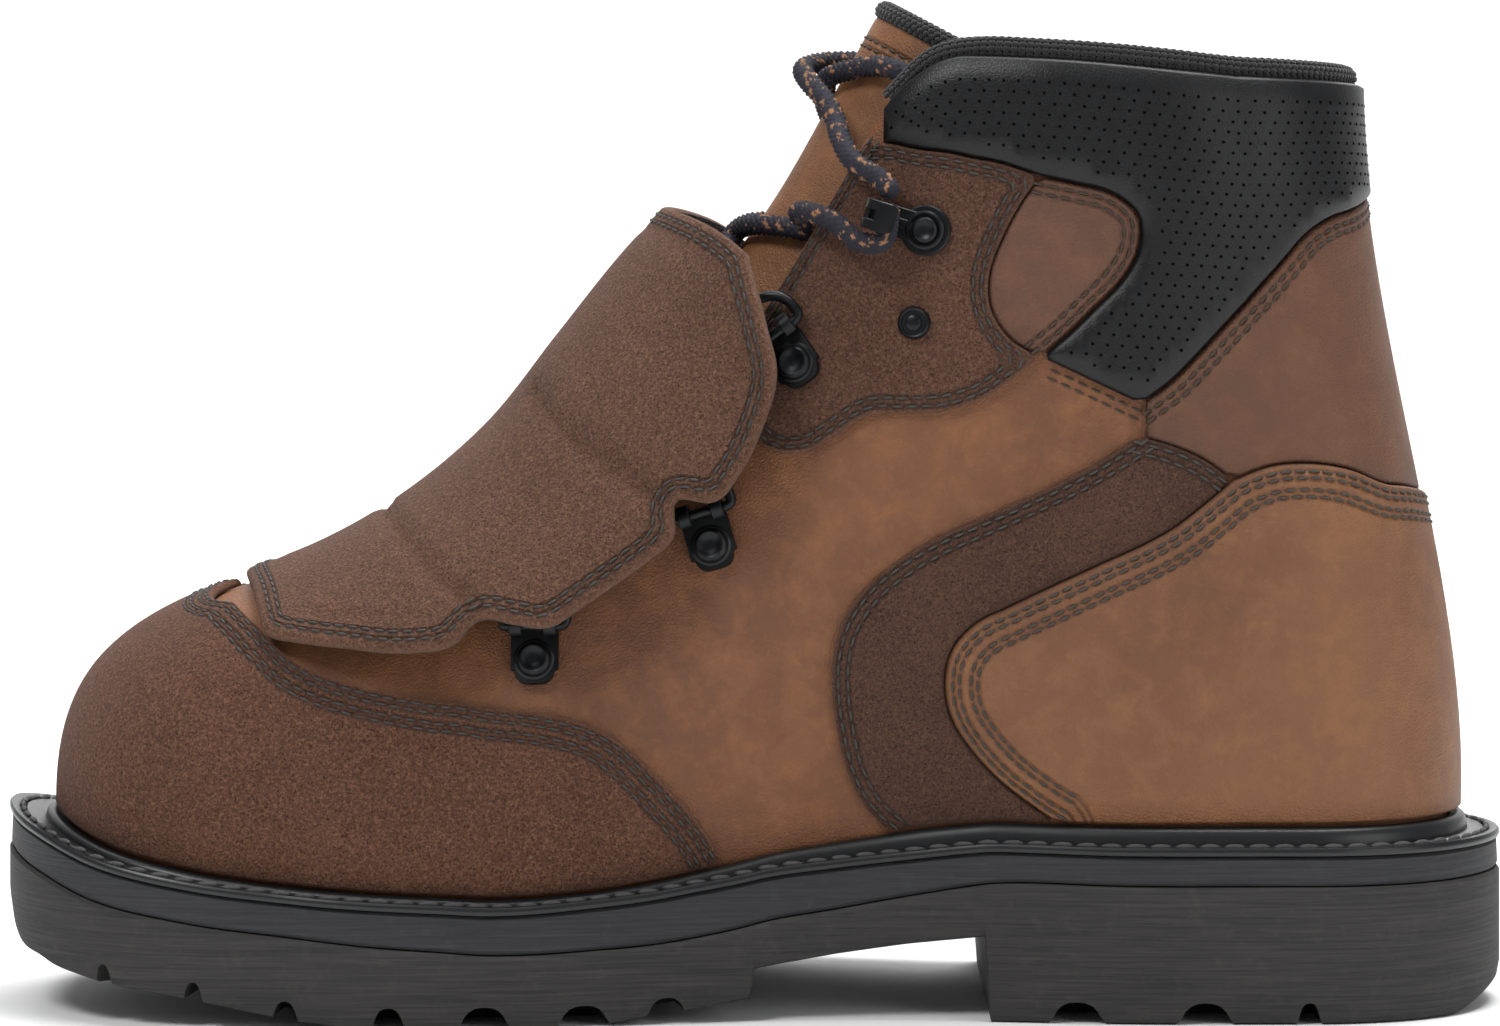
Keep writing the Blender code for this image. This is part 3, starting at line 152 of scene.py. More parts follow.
TOE_X = PLAN["medial"][0] * BALL_WIDTH - LENGTH / 2
HEEL_X = LENGTH / 2 - PLAN["medial"][-1] * HEEL_WIDTH
TOE_Y = -0.061 * BALL_WIDTH
HEEL_Y = -0.088 * BALL_WIDTH


def share(x):
    return np.asarray(x) / LENGTH + 0.5


def spine(x):
    """Where the boot's middle lies, from the toe's fan to the heel's."""
    return TOE_Y + (HEEL_Y - TOE_Y) * np.clip((x - TOE_X) / (HEEL_X - TOE_X), 0, 1)


def sole_height(column, x):
    return HEEL_HEIGHT * read(SIDE, column, share(x))


def welt_height(x):
    return sole_height("top", x) + WELT_THICKNESS


def rib(u):
    """Where the rib at u stands on the spine, its heading, its station and its side."""
    turned = (np.asarray(u, float) + 1) % 2 - 1
    station = abs(turned)
    side = np.where(turned >= 0, MEDIAL, LATERAL)
    toe = np.clip(1 - station / TOE_TURN, 0, 1) * math.pi / 2
    heel = np.clip((station - HEEL_TURN) / (1 - HEEL_TURN), 0, 1) * math.pi / 2
    ahead = np.sin(heel) - np.sin(toe)
    across = side * np.cos(heel + toe)
    along = np.clip((station - TOE_TURN) / (HEEL_TURN - TOE_TURN), 0, 1)
    x = TOE_X + (HEEL_X - TOE_X) * along
    return x, spine(x), ahead, across, station, side


def sole_reach(station, side):
    """How far the sole's edge lies from the spine."""
    width = BALL_WIDTH + (HEEL_WIDTH - BALL_WIDTH) * read(PLAN, "rear", station)
    medial = read(PLAN, "medial", station, level=True)
    lateral = read(PLAN, "lateral", station, level=True)
    return width * np.where(side == MEDIAL, medial, lateral)


def feather_reach(station, side):
    return sole_reach(station, side) - read(PLAN, "margin", station, level=True)


def around_the_sole(reach_of, height_of, count=150):
    """A ring of points round the boot, a reach from the spine at a height from each point's x."""
    stations = np.linspace(0, 1, count)
    u = np.concatenate([stations, -stations[-2:0:-1]])
    x, y, ahead, across, station, side = rib(u)
    reach = reach_of(station, side)
    x = x + ahead * reach
    return np.stack([x, y + across * reach, height_of(x, station)], axis=1)


def mesh_of_rings(rings, closed=False, rungs=False):
    """A skin over rings, closed on itself or by a face or rungs from side to side at each end."""
    mesh = bmesh.new()
    rows = [[mesh.verts.new(p) for p in ring] for ring in rings]
    count = len(rows[0])
    for one, other in list(zip(rows, rows[1:])) + [(rows[-1], rows[0])] * closed:
        for k in range(count):
            mesh.faces.new([one[k], one[(k + 1) % count], other[(k + 1) % count], other[k]])
    for row in () if closed else (rows[0], rows[-1]):
        if not rungs:
            mesh.faces.new(row)
            continue
        for i in range(count // 2):
            corners = [row[i], row[i + 1], row[-(i + 1) % count], row[-i % count]]
            mesh.faces.new(list(dict.fromkeys(corners)))
    bmesh.ops.recalc_face_normals(mesh, faces=mesh.faces)
    return mesh


def link_data(name, data):
    obj = bpy.data.objects.new(name, data)
    bpy.context.scene.collection.objects.link(obj)
    return obj


def link_mesh(name, mesh, sharp=None):
    data = bpy.data.meshes.new(name)
    mesh.to_mesh(data)
    mesh.free()
    data.shade_smooth()
    if sharp:
        data.set_sharp_from_angle(angle=math.radians(sharp))
    return link_data(name, data)


def feed(tree, socket, value):
    """Gives an input a link, a colour or a plain value."""
    if isinstance(value, bpy.types.NodeSocket):
        tree.links.new(value, socket)
    elif socket.type == "RGBA":
        socket.default_value = (*value, 1)
    else:
        socket.default_value = value


def node(tree, kind, settings=None, **inputs):
    made = tree.nodes.new(kind)
    for name, value in (settings or {}).items():
        setattr(made, name, value)
    for name, value in inputs.items():
        feed(tree, made.inputs[name.replace("_", " ")], value)
    return made


def new_material(name, rough=0.5, specular=0.5):
    """A material's node tree and shader, and the place on the object that its textures are read at."""
    material = bpy.data.materials.new(name)
    material.use_nodes = True
    tree = material.node_tree
    shader = tree.nodes["Principled BSDF"]
    shader.inputs["Roughness"].default_value = rough
    shader.inputs["Specular IOR Level"].default_value = specular
    return material, tree, shader, tree.nodes.new("ShaderNodeTexCoord").outputs["Object"]


def mixed(tree, factor, one, other):
    made = node(tree, "ShaderNodeMix", {"data_type": "RGBA"})
    for index, value in ((0, factor), (6, one), (7, other)):
        feed(tree, made.inputs[index], value)
    return made.outputs[2]


def surfaced(tree, shader, color, height, strength, distance):
    """Links a colour, and a height as a bump, to the shader."""
    feed(tree, shader.inputs["Base Color"], color)
    bump = node(tree, "ShaderNodeBump", Strength=strength, Distance=distance, Height=height)
    feed(tree, shader.inputs["Normal"], bump.outputs["Normal"])


def shade(*screen):
    """A screen colour from 0 to 255 as the linear colour that shaders take."""
    return tuple(((c / 255 + 0.055) / 1.055) ** 2.4 if c > 10 else c / 255 / 12.92 for c in screen)


def cloth(name, base, pale):
    material, tree, shader, where = new_material(name, 0.95)
    cells = node(tree, "ShaderNodeTexVoronoi", {"feature": "F1"}, Vector=where, Scale=900.0)
    weave = cells.outputs["Distance"]
    surfaced(tree, shader, mixed(tree, weave, base, pale), weave, 0.6, 0.0005)
    return material


def wear(obj, material, slot, *nodes):
    """Gives a finished piece its material and its place in the frame."""
    obj.data.materials.append(material)
    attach(obj, "root")
    if nodes:
        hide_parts(*nodes)


def lay_insole():
    def ring(lift, inset_by):
        return around_the_sole(
            lambda station, side: feather_reach(station, side) - WALL - 0.0006 - inset_by,
            lambda x, station: welt_height(x) + lift,
        )

    top = GAP + INSOLE_THICKNESS
    rings = [ring(top, 0.0008), ring(top - 0.0006, 0), ring(GAP, 0)]
    board = link_mesh("insole_board", mesh_of_rings(rings, rungs=True), 40)
    wear(board, cloth("insole_weave", shade(52, 50, 48), shade(92, 88, 82)), "insole_cloth", "insole")


lay_insole()


# Upper and lining
# Oiled leather, drawn over the last and seen at the vamp and the quarters, with a dark brushed cloth
# lining inside. The last's ribs run from the feather line, where v is 0, up to the topline, where v is 1.

BOOT_HEIGHT = 0.200
SEAT = 0.0004
COLLAR_PULL = 0.014
UPPER_LEATHER = 0.0014
TOPLINE = table(
    "along height half",
    (0.180, 0.440, 0.000),
    (0.234, 0.462, 0.000),
    (0.282, 0.484, 0.000),
    (0.300, 0.484, 0.105),
    (0.320, 0.480, 0.155),
    (0.360, 0.502, 0.190),
    (0.420, 0.562, 0.205),
    (0.487, 0.668, 0.213),
    (0.514, 0.737, 0.217),
    (0.560, 0.860, 0.222),
    (0.583, 0.922, 0.240),
    (0.605, 0.962, 0.262),
    (0.640, 0.986, 0.285),
    (0.700, 0.983, 0.312),
    (0.790, 0.970, 0.300),
    (0.860, 0.957, 0.225),
)
RIBS = table(
    "around swell_medial swell_lateral low shoulder high",
    (0.00, 0.013, 0.013, 0.66, 0.66, 0.79),
    (0.10, 0.018, 0.018, 0.66, 0.68, 0.86),
    (0.20, 0.026, 0.026, 0.62, 0.72, 1.00),
    (0.26, 0.026, 0.023, 0.52, 0.66, 1.00),
    (0.31, 0.026, 0.020, 0.46, 0.66, 0.98),
    (0.36, 0.028, 0.015, 0.42, 0.73, 0.92),
    (0.43, 0.055, 0.000, 0.42, 0.79, 0.84),
    (0.51, 0.085, -0.030, 0.40, 0.85, 0.76),
    (0.59, 0.085, -0.010, 0.36, 0.96, 0.66),
    (0.67, 0.062, 0.010, 0.34, 0.99, 0.64),
    (0.75, 0.034, 0.025, 0.32, 0.98, 0.64),
    (0.83, 0.020, 0.020, 0.31, 0.92, 0.64),
    (0.915, 0.025, 0.025, 0.31, 0.83, 0.66),
    (1.00, 0.030, 0.030, 0.31, 0.75, 0.66),
)


def on_upper(u, v):
    """The upper's outer face: v is 0 at the feather line and 1 at the topline."""
    x, y, ahead, across, station, side = rib(u)
    foot = feather_reach(station, side)
    foot_z = welt_height(x + ahead * foot) + SEAT
    fan = np.clip((station - HEEL_TURN) / (1 - HEEL_TURN), 0, 1)
    behind = np.clip((station - 0.60) / (HEEL_TURN - 0.60), 0, 1)
    top_x = x - COLLAR_PULL * behind**2 * (3 - 2 * behind)
    top = BALL_WIDTH * read(TOPLINE, "half", share(top_x)) * (1 - 0.145 * fan * (2 - fan))
    top_z = BOOT_HEIGHT * (read(TOPLINE, "height", share(top_x)) - 0.012 * fan)
    swell_medial, swell_lateral = read(RIBS, "swell_medial", station), read(RIBS, "swell_lateral", station)
    swell = np.where(side == MEDIAL, swell_medial, swell_lateral)
    low = foot + BALL_WIDTH * swell
    high = low * read(RIBS, "shoulder", station)
    rise = top_z - foot_z
    low_z = foot_z + rise * read(RIBS, "low", station)
    high_z = foot_z + rise * read(RIBS, "high", station)
    v = np.asarray(v, float)
    weights = (1 - v) ** 3, 3 * v * (1 - v) ** 2, 3 * v**2 * (1 - v), v**3
    out = sum(w * r for w, r in zip(weights, (foot, low, high, top)))
    z = sum(w * h for w, h in zip(weights, (foot_z, low_z, high_z, top_z)))
    x = sum(w * h for w, h in zip(weights, (x, x, top_x, top_x)))
    return np.stack([x + ahead * out, y + across * out, z * np.ones_like(out)], axis=-1)


def offset(surface, u, v, out):
    """Points this far out along the surface's normal."""
    small = 2e-4
    u, v = np.asarray(u, float), np.asarray(v, float)
    by_u = surface(u + small, v) - surface(u - small, v)
    by_v = surface(u, np.minimum(v + small, 1)) - surface(u, v - small)
    normal = np.cross(by_u, by_v)
    normal /= np.maximum(np.linalg.norm(normal, axis=-1, keepdims=True), 1e-12)
    return surface(u, v) + normal * np.asarray(out)[..., None]


def noise(tree, where, scale, detail=4.0, roughness=0.6, distortion=0.0):
    return node(
        tree, "ShaderNodeTexNoise", Vector=where, Scale=scale, Detail=detail, Roughness=roughness,
        Distortion=distortion,
    ).outputs["Fac"]


def ramp(tree, factor, low, high, dark=0.0, light=1.0):
    """A grey from dark, where the factor is low, to light, where it is high."""
    made = node(tree, "ShaderNodeValToRGB", Fac=factor)
    for end, position, grey in zip(made.color_ramp.elements, (low, high), (dark, light)):
        end.position = position
        end.color = (grey, grey, grey, 1)
    return made.outputs["Color"]


def sums(tree, kind, one, other):
    made = node(tree, "ShaderNodeMath", {"operation": kind})
    feed(tree, made.inputs[0], one)
    feed(tree, made.inputs[1], other)
    return made.outputs[0]


def relief(tree, first, part, second, other_part, sunk, depth):
    """Two textures' heights in these parts, less the grooves."""
    one, other = sums(tree, "MULTIPLY", first, part), sums(tree, "MULTIPLY", second, other_part)
    return sums(tree, "SUBTRACT", sums(tree, "ADD", one, other), sums(tree, "MULTIPLY", sunk, depth))


def near_row(tree, distance, row, reach):
    """1 on a line this far from the edge, falling to 0 within reach of it."""
    away = sums(tree, "ABSOLUTE", sums(tree, "SUBTRACT", distance, row), 0.0)
    return sums(tree, "MAXIMUM", sums(tree, "SUBTRACT", 1.0, sums(tree, "DIVIDE", away, reach)), 0.0)


def toned(color, by):
    return tuple(c * by for c in color)


def grooves(tree, rows, reach=0.0008):
    """Where the stitch rows sink in, from 0 to 1, which gives the grooves their bump and their painted shade,
    and the distance to the cut edge.
    """
    distance = node(tree, "ShaderNodeAttribute", {"attribute_name": "seam"}).outputs["Fac"]
    sunk = near_row(tree, distance, rows[0] if rows else -1.0, reach)
    for row in rows[1:]:
        sunk = sums(tree, "MAXIMUM", sunk, near_row(tree, distance, row, reach))
    return sunk, node(tree, "ShaderNodeAttribute", {"attribute_name": "edge"}).outputs["Fac"]


def oiled_leather(name, base, pale, dark, rows):
    """Pull-up leather in patches, with painted shade in its stitch grooves, darker at its cut edge, and pale
    where it is scuffed.
    """
    material, tree, shader, where = new_material(name, specular=0.42)
    patch = noise(tree, where, 15, 5, 0.55, 0.35)
    fine = noise(tree, where, 130, 6, 0.70, 0.3)
    scuff = noise(tree, where, 760, 4, 0.75)
    grain = node(tree, "ShaderNodeTexVoronoi", {"feature": "DISTANCE_TO_EDGE"}, Vector=where, Scale=1150.0)
    color = mixed(tree, ramp(tree, patch, 0.28, 0.66), dark, base)
    color = mixed(tree, ramp(tree, fine, 0.45, 0.85, 0, 0.55), color, pale)
    color = mixed(tree, ramp(tree, scuff, 0.56, 0.82, 0, 0.30), color, pale)
    sunk, distance = grooves(tree, rows)
    # Painted shade: the stitch grooves are darkened towards a deep brown in the colour
    color = mixed(tree, sums(tree, "MULTIPLY", sunk, 0.5), color, toned(dark, 0.4))
    rim = ramp(tree, sums(tree, "MULTIPLY", distance, 1000), 0.0, 0.8, 0.75, 0)
    color = mixed(tree, rim, color, toned(dark, 0.5))
    feed(tree, shader.inputs["Roughness"], ramp(tree, patch, 0.30, 0.75, 0.66, 0.42))
    pores = ramp(tree, grain.outputs["Distance"], 0.0, 0.22)
    surfaced(tree, shader, color, relief(tree, pores, 0.16, fine, 0.65, sunk, 0.8), 0.7, 0.0008)
    return material


def keep(obj, name, values):
    """Gives each vertex a number that the materials read by this name."""
    obj.data.attributes.new(name, "FLOAT", "POINT").data.foreach_set("value", values)


def shell(name, start, end):
    """The lasted wall between two depths under its face, open underneath, at the throat and the collar."""
    spans = ((0, 0.29, 60), (0.295, 0.315, 9), (0.32, 1, 150))
    stations = np.concatenate([np.linspace(*span) for span in spans])
    ring = np.concatenate([stations, -stations[-2:0:-1]])
    levels = np.linspace(0, 1, 61)
    middles, _, ahead, across, _, _ = rib(ring)
    headings = np.stack([ahead, across, np.zeros_like(ring)], axis=1)
    open_at = read(TOPLINE, "half", share(middles)) > 0
    ridge = np.stack([middles, spine(middles), BOOT_HEIGHT * read(TOPLINE, "height", share(middles))], axis=1)
    mesh = bmesh.new()
    sheets = []
    for depth in (-start, -end):
        rows = []
        for i, u in enumerate(ring):
            column = offset(on_upper, np.full_like(levels, u), levels, depth)
            if not open_at[i]:
                column[-1] = ridge[i] + (0, 0, depth)
            if depth:
                column[0] = on_upper(u, 0) + headings[i] * depth
            rows.append([mesh.verts.new(p) for p in column])
        sheets.append(rows)
    outer, inner = sheets
    for i in range(len(ring)):
        j = (i + 1) % len(ring)
        for k in range(len(levels) - 1):
            mesh.faces.new([outer[i][k], outer[j][k], outer[j][k + 1], outer[i][k + 1]])
            mesh.faces.new([inner[i][k], inner[i][k + 1], inner[j][k + 1], inner[j][k]])
        mesh.faces.new([outer[i][0], inner[i][0], inner[j][0], outer[j][0]])
        if open_at[i] or open_at[j]:
            mesh.faces.new([outer[i][-1], outer[j][-1], inner[j][-1], inner[i][-1]])
    bmesh.ops.remove_doubles(mesh, verts=mesh.verts, dist=5e-6)
    obj = link_mesh(name, mesh)
    keep(obj, "edge", np.ones(len(obj.data.vertices)))
    return obj


VAMP_LEATHER = oiled_leather("vamp_oiled", shade(126, 80, 48), shade(160, 106, 62), shade(94, 60, 42), ())
LINING = cloth("lining_cloth", shade(28, 28, 31), shade(52, 50, 50))
wear(shell("vamp_and_quarters", 0, UPPER_LEATHER), VAMP_LEATHER, "oiled_leather", "upper")
wear(shell("lining", UPPER_LEATHER + 0.00005, WALL), LINING, None)


# Toe cap
# A rough-out suede cap over the steel toe. Like every panel it is a sheet cut from the last's surface with
# a rounded edge, and it is held by four close rows of lockstitch in waxed thread along its upper edge.

CAP_THICKNESS = 0.0019
PANEL_LIFT = 0.0004
EDGE_STEP = 0.0016
STITCH_PITCH = 0.0030
ROLL_WIDTH = 0.0036
ROLL_HEIGHT = 0.0036
CAP_EDGE = (
    (0.158, 0.412), (0.172, 0.394), (0.200, 0.360), (0.234, 0.341), (0.285, 0.326), (0.340, 0.317),
    (0.380, 0.308), (0.408, 0.290), (0.435, 0.252), (0.463, 0.203), (0.478, 0.165),
)
CAP_ROWS = (0.0013, 0.0027, 0.0047, 0.0061)
CAP_CREST = 0.427
HEM_LIFT = 0.0006
LOCATE_STEP = 0.0078
STITCH_SIZE = {"width": 0.00058, "height": 0.00066}

# Each surface's least and greatest u and v, and about how long one unit of each is
SPANS = {on_upper: ((0.0, 1.0), (0.0, 1.0), 0.33, 0.11)}


def locate(surface, side, points):
    """The surface's parameters under points given as x and z in side view."""
    points = np.asarray(points, float)
    (u0, u1), (v0, v1), _, _ = SPANS[surface]
    if surface is on_upper and side == LATERAL:
        u0, u1 = 1.0, 2.0
    elif surface is not on_upper:
        v0, v1 = (-1.0, 0.0) if side == MEDIAL else (0.0, 1.0)
    u, v = np.meshgrid(np.linspace(u0, u1, 241), np.linspace(v0, v1, 121), indexing="ij")
    seen = surface(u, v)
    found = []
    for x, z in points:
        i = np.argmin((seen[..., 0] - x) ** 2 + (seen[..., 2] - z) ** 2)
        at = np.array([u.flat[i], v.flat[i]])
        for _ in range(6):
            here = surface(at[0], at[1])[[0, 2]]
            step = 1e-4
            by_u = (surface(at[0] + step, at[1])[[0, 2]] - here) / step
            by_v = (surface(at[0], at[1] - step)[[0, 2]] - here) / -step
            move = np.linalg.lstsq(np.stack([by_u, by_v], axis=1), np.array([x, z]) - here, rcond=1e-3)[0]
            at = np.clip(at + np.clip(move, -0.05, 0.05), (u0, v0), (u1, v1))
        found.append(at)
    return np.array(found)


def rounded(points, count):
    """Points along a smooth curve through these, spaced by its length."""
    points = np.asarray(points, float)
    if len(points) > 2:
        ends = np.vstack([2 * points[0] - points[1], points, 2 * points[-1] - points[-2]])
        dense = []
        for i in range(1, len(ends) - 2):
            a, b, c, d = ends[i - 1 : i + 3]
            for w in np.linspace(0, 1, 12, endpoint=False):
                bend = (2 * a - 5 * b + 4 * c - d) * w**2 + (3 * b - a - 3 * c + d) * w**3
                dense.append(0.5 * (2 * b + (c - a) * w + bend))
        points = np.vstack([dense, points[-1]])
    lengths = np.concatenate([[0], np.cumsum(np.linalg.norm(np.diff(points, axis=0), axis=1))])
    at = np.linspace(0, lengths[-1], count)
    return np.stack([np.interp(at, lengths, points[:, k]) for k in range(points.shape[1])], axis=1)


def along(surface, places, count):
    """Places on a surface along a smooth curve through these, evenly spaced."""
    size = np.array(SPANS[surface][2:])
    return rounded(np.asarray(places) * size, count) / size


def edge(surface, side, shares):
    """A smooth stretch of outline, located at a few of its points and run smoothly between them."""
    points = (np.asarray(shares) - (0.5, 0)) * (LENGTH, BOOT_HEIGHT)
    length = np.linalg.norm(np.diff(points, axis=0), axis=1).sum()
    coarse = locate(surface, side, rounded(points, max(2, round(length / LOCATE_STEP) + 1)))
    return along(surface, coarse, max(2, round(length / EDGE_STEP) + 1))


def straight(start, end, surface):
    length = np.linalg.norm((np.array(end) - start) * SPANS[surface][2:])
    return np.linspace(start, end, max(2, round(length / EDGE_STEP) + 1))


def outline_of(*stretches):
    """One closed outline, with each corner once."""
    points = []
    for point in np.vstack(stretches):
        if not points or np.abs(point - points[-1]).max() > 6e-4:
            points.append(point)
    if np.abs(points[0] - points[-1]).max() < 6e-4:
        points.pop()
    return np.array(points)


def mirrored(points):
    return np.stack([-points[::-1, 0], points[::-1, 1]], axis=1)


def inside(points, outline):
    x, y = points[:, :1], points[:, 1:]
    x0, y0 = outline[:, 0], outline[:, 1]
    x1, y1 = np.roll(x0, -1), np.roll(y0, -1)
    crosses = ((y0 > y) != (y1 > y)) & (x < (x1 - x0) * (y - y0) / np.where(y1 == y0, 1e-12, y1 - y0) + x0)
    return crosses.sum(axis=1) % 2 == 1


def from_line(points, start, end):
    """Distance from each point to the nearest of these runs."""
    run = end - start
    found = []
    for part in np.array_split(points, max(1, len(points) // 2000)):
        along = ((part[:, None] - start) * run).sum(axis=2) / np.maximum((run**2).sum(axis=1), 1e-18)
        near = start + run * np.clip(along, 0, 1)[..., None]
        found.append(np.linalg.norm(part[:, None] - near, axis=2).min(axis=1))
    return np.concatenate(found)


def inwards(surface, places, outline, distance):
    """These places of an outline moved this far into it, measured along the surface."""
    moved = np.array(places, float)
    here = surface(*moved.T)
    run = np.gradient(here, axis=0)
    turn = None
    for _ in range(3):
        u, v = moved.T
        by_u = (surface(u + 1e-4, v) - surface(u - 1e-4, v)) / 2e-4
        by_v = (surface(u, v) - surface(u, v - 1e-4)) / 1e-4
        normal = np.cross(by_u, by_v)
        way = np.cross(normal, run)
        way /= np.maximum(np.linalg.norm(way, axis=1), 1e-12)[:, None]
        uu, uv, vv = (by_u * by_u).sum(1), (by_u * by_v).sum(1), (by_v * by_v).sum(1)
        along, up = (way * by_u).sum(1), (way * by_v).sum(1)
        size = np.maximum(uu * vv - uv**2, 1e-12)
        step = np.stack([(vv * along - uv * up) / size, (uu * up - uv * along) / size], axis=1)
        step *= distance / 3
        if turn is None:
            turn = 1 if inside(moved + step, outline).mean() > 0.5 else -1
        moved = moved + turn * step
    clear = from_line(surface(*moved.T), here[:-1], here[1:]) > distance * 0.95
    return moved[clear & inside(moved, outline)]


def rounded_over(depth, rim):
    """How high a face stands this far in from an edge that is rounded over, from 0 to 1."""
    return np.sqrt(1 - (1 - np.clip(depth / rim, 0, 1)) ** 2)


def panel(name, surface, outline, thickness, seams=(), spacing=0.0024, height=None, settle=0, backing=0):
    """A sheet cut from a surface. Its top rounds down over the cut edge, or follows a height of its own.

    Seams are the stretches of the outline that are stitched: a vertex keeps its distance to them. Settle
    is how many times the heights inside are evened out with their neighbours', and backing the material
    of the underside.
    """
    rim = 0.0009
    size = np.array(SPANS[surface][2:])
    closed = np.vstack([outline, outline[:1]])
    rings = [inwards(surface, closed, outline, distance) * size for distance in (0.00012, rim * 0.35, rim)]
    border = rings[0]
    lowest, highest = border.min(axis=0), border.max(axis=0)
    columns = np.arange(lowest[0], highest[0], spacing)
    rows = np.arange(lowest[1], highest[1], spacing * 0.87)
    grid = np.array([(x + spacing / 2 * (j % 2), y) for j, y in enumerate(rows) for x in columns])
    grid = grid[inside(grid, border)]
    grid = grid[from_line(grid, border, np.roll(border, -1, axis=0)) > rim + spacing * 0.5]
    edges = [(i, (i + 1) % len(border)) for i in range(len(border))]
    points = np.vstack([*rings, grid])
    flat, _, faces, _, _, _ = delaunay_2d_cdt([Vector(p) for p in points], edges, [], 1, 1e-6)
    u, v = (np.array(flat) / size).T
    here = surface(u, v)
    around = surface(*(border / size).T)
    depth = from_line(here, around, np.roll(around, -1, axis=0))
    top = PANEL_LIFT + thickness * (0.4 + 0.6 * rounded_over(depth, rim))
    low = np.full_like(depth, PANEL_LIFT)
    if height is not None:
        low, top = height(u, v, depth, here)
    pairs = np.array([(i, j) for face in faces for i, j in zip(face, list(face[1:]) + [face[0]])])
    soft = np.clip((depth - 0.0012) / 0.004, 0, 1) * 0.9
    shared = np.maximum(np.bincount(pairs[:, 0], minlength=len(top)), 1)
    for _ in range(settle):
        total = np.bincount(pairs[:, 0], top[pairs[:, 1]], len(top))
        top = top + soft * (total / shared - top)
    seam = np.full_like(depth, 1.0)
    for stretch in seams:
        line = surface(*np.array(stretch).T)
        seam = np.minimum(seam, from_line(here, line[:-1], line[1:]))
    mesh = bmesh.new()
    tops, bottoms = [[mesh.verts.new(p) for p in offset(surface, u, v, out)] for out in (top, low)]
    for face in faces:
        mesh.faces.new([tops[i] for i in face])
        mesh.faces.new([bottoms[i] for i in reversed(face)]).material_index = backing
    uses = set(map(tuple, pairs.tolist()))
    for i, j in uses:
        if (j, i) not in uses:
            mesh.faces.new([tops[j], tops[i], bottoms[i], bottoms[j]])
    bmesh.ops.recalc_face_normals(mesh, faces=mesh.faces)
    obj = link_mesh(name, mesh)
    keep(obj, "edge", np.tile(depth, 2))
    keep(obj, "seam", np.tile(seam, 2))
    return obj


def suede(name, base, pale, dark, rows):
    """Short nap with flecks, with painted shade in its stitch grooves, and rubbed pale along its cut edge."""
    material, tree, shader, where = new_material(name, 0.93, 0.2)
    shader.inputs["Sheen Weight"].default_value = 0.06
    shader.inputs["Sheen Roughness"].default_value = 0.5
    cloud = noise(tree, where, 55, 5, 0.65)
    nap = noise(tree, where, 1300, 4, 0.75)
    fleck = noise(tree, where, 2300, 2, 0.6)
    color = mixed(tree, ramp(tree, cloud, 0.25, 0.70, 0.35, 1), dark, base)
    color = mixed(tree, ramp(tree, nap, 0.46, 0.76, 0, 0.80), color, pale)
    color = mixed(tree, ramp(tree, fleck, 0.30, 0.50, 0.95, 0), color, toned(dark, 0.42))
    sunk, distance = grooves(tree, rows)
    # Painted shade: the stitch grooves are darkened towards a deep brown in the colour
    color = mixed(tree, sums(tree, "MULTIPLY", sunk, 0.40), color, toned(dark, 0.45))
    color = mixed(tree, ramp(tree, sums(tree, "MULTIPLY", distance, 1000), 0.0, 0.7, 0.22, 0), color, pale)
    surfaced(tree, shader, color, relief(tree, nap, 0.55, fleck, 0.30, sunk, 0.9), 1.0, 0.0012)
    return material


def thread(name, color):
    material, tree, shader, where = new_material(name, 0.7)
    twist = noise(tree, where, 1500, 2, 0.6)
    surfaced(tree, shader, mixed(tree, twist, toned(color, 0.55), toned(color, 1.5)), twist, 0.5, 0.0003)
    return material


def new_tree(name, **inputs):
    """A tree that takes a geometry and these inputs, and gives a geometry."""
    tree = bpy.data.node_groups.new(name, "GeometryNodeTree")
    tree.interface.new_socket("Geometry", in_out="INPUT", socket_type="NodeSocketGeometry")
    for key, value in inputs.items():
        kind = {float: "Float", int: "Int"}.get(type(value), "Material")
        made = tree.interface.new_socket(key, in_out="INPUT", socket_type="NodeSocket" + kind)
        if value is not None:
            made.default_value = value
    tree.interface.new_socket("Geometry", in_out="OUTPUT", socket_type="NodeSocketGeometry")
    return tree, tree.nodes.new("NodeGroupInput").outputs


def standing(tree):
    """A turn square to the surface, by the upright that each point keeps."""
    kept = node(tree, "GeometryNodeInputNamedAttribute", {"data_type": "FLOAT_VECTOR"}, Name="upright")
    way = kept.outputs["Attribute"]
    return node(tree, "FunctionNodeAlignRotationToVector", {"axis": "Z"}, Vector=way).outputs["Rotation"]


def laid(tree, points, shape, material, **how):
    """Ends a tree: the shape on each point, made real, in its material."""
    each = node(tree, "GeometryNodeInstanceOnPoints", Points=points, Instance=shape, **how)
    real = node(tree, "GeometryNodeRealizeInstances", Geometry=each.outputs["Instances"])
    worn = node(tree, "GeometryNodeSetMaterial", Geometry=real.outputs["Geometry"], Material=material)
    node(tree, "NodeGroupOutput", Geometry=worn.outputs["Geometry"])
    return tree


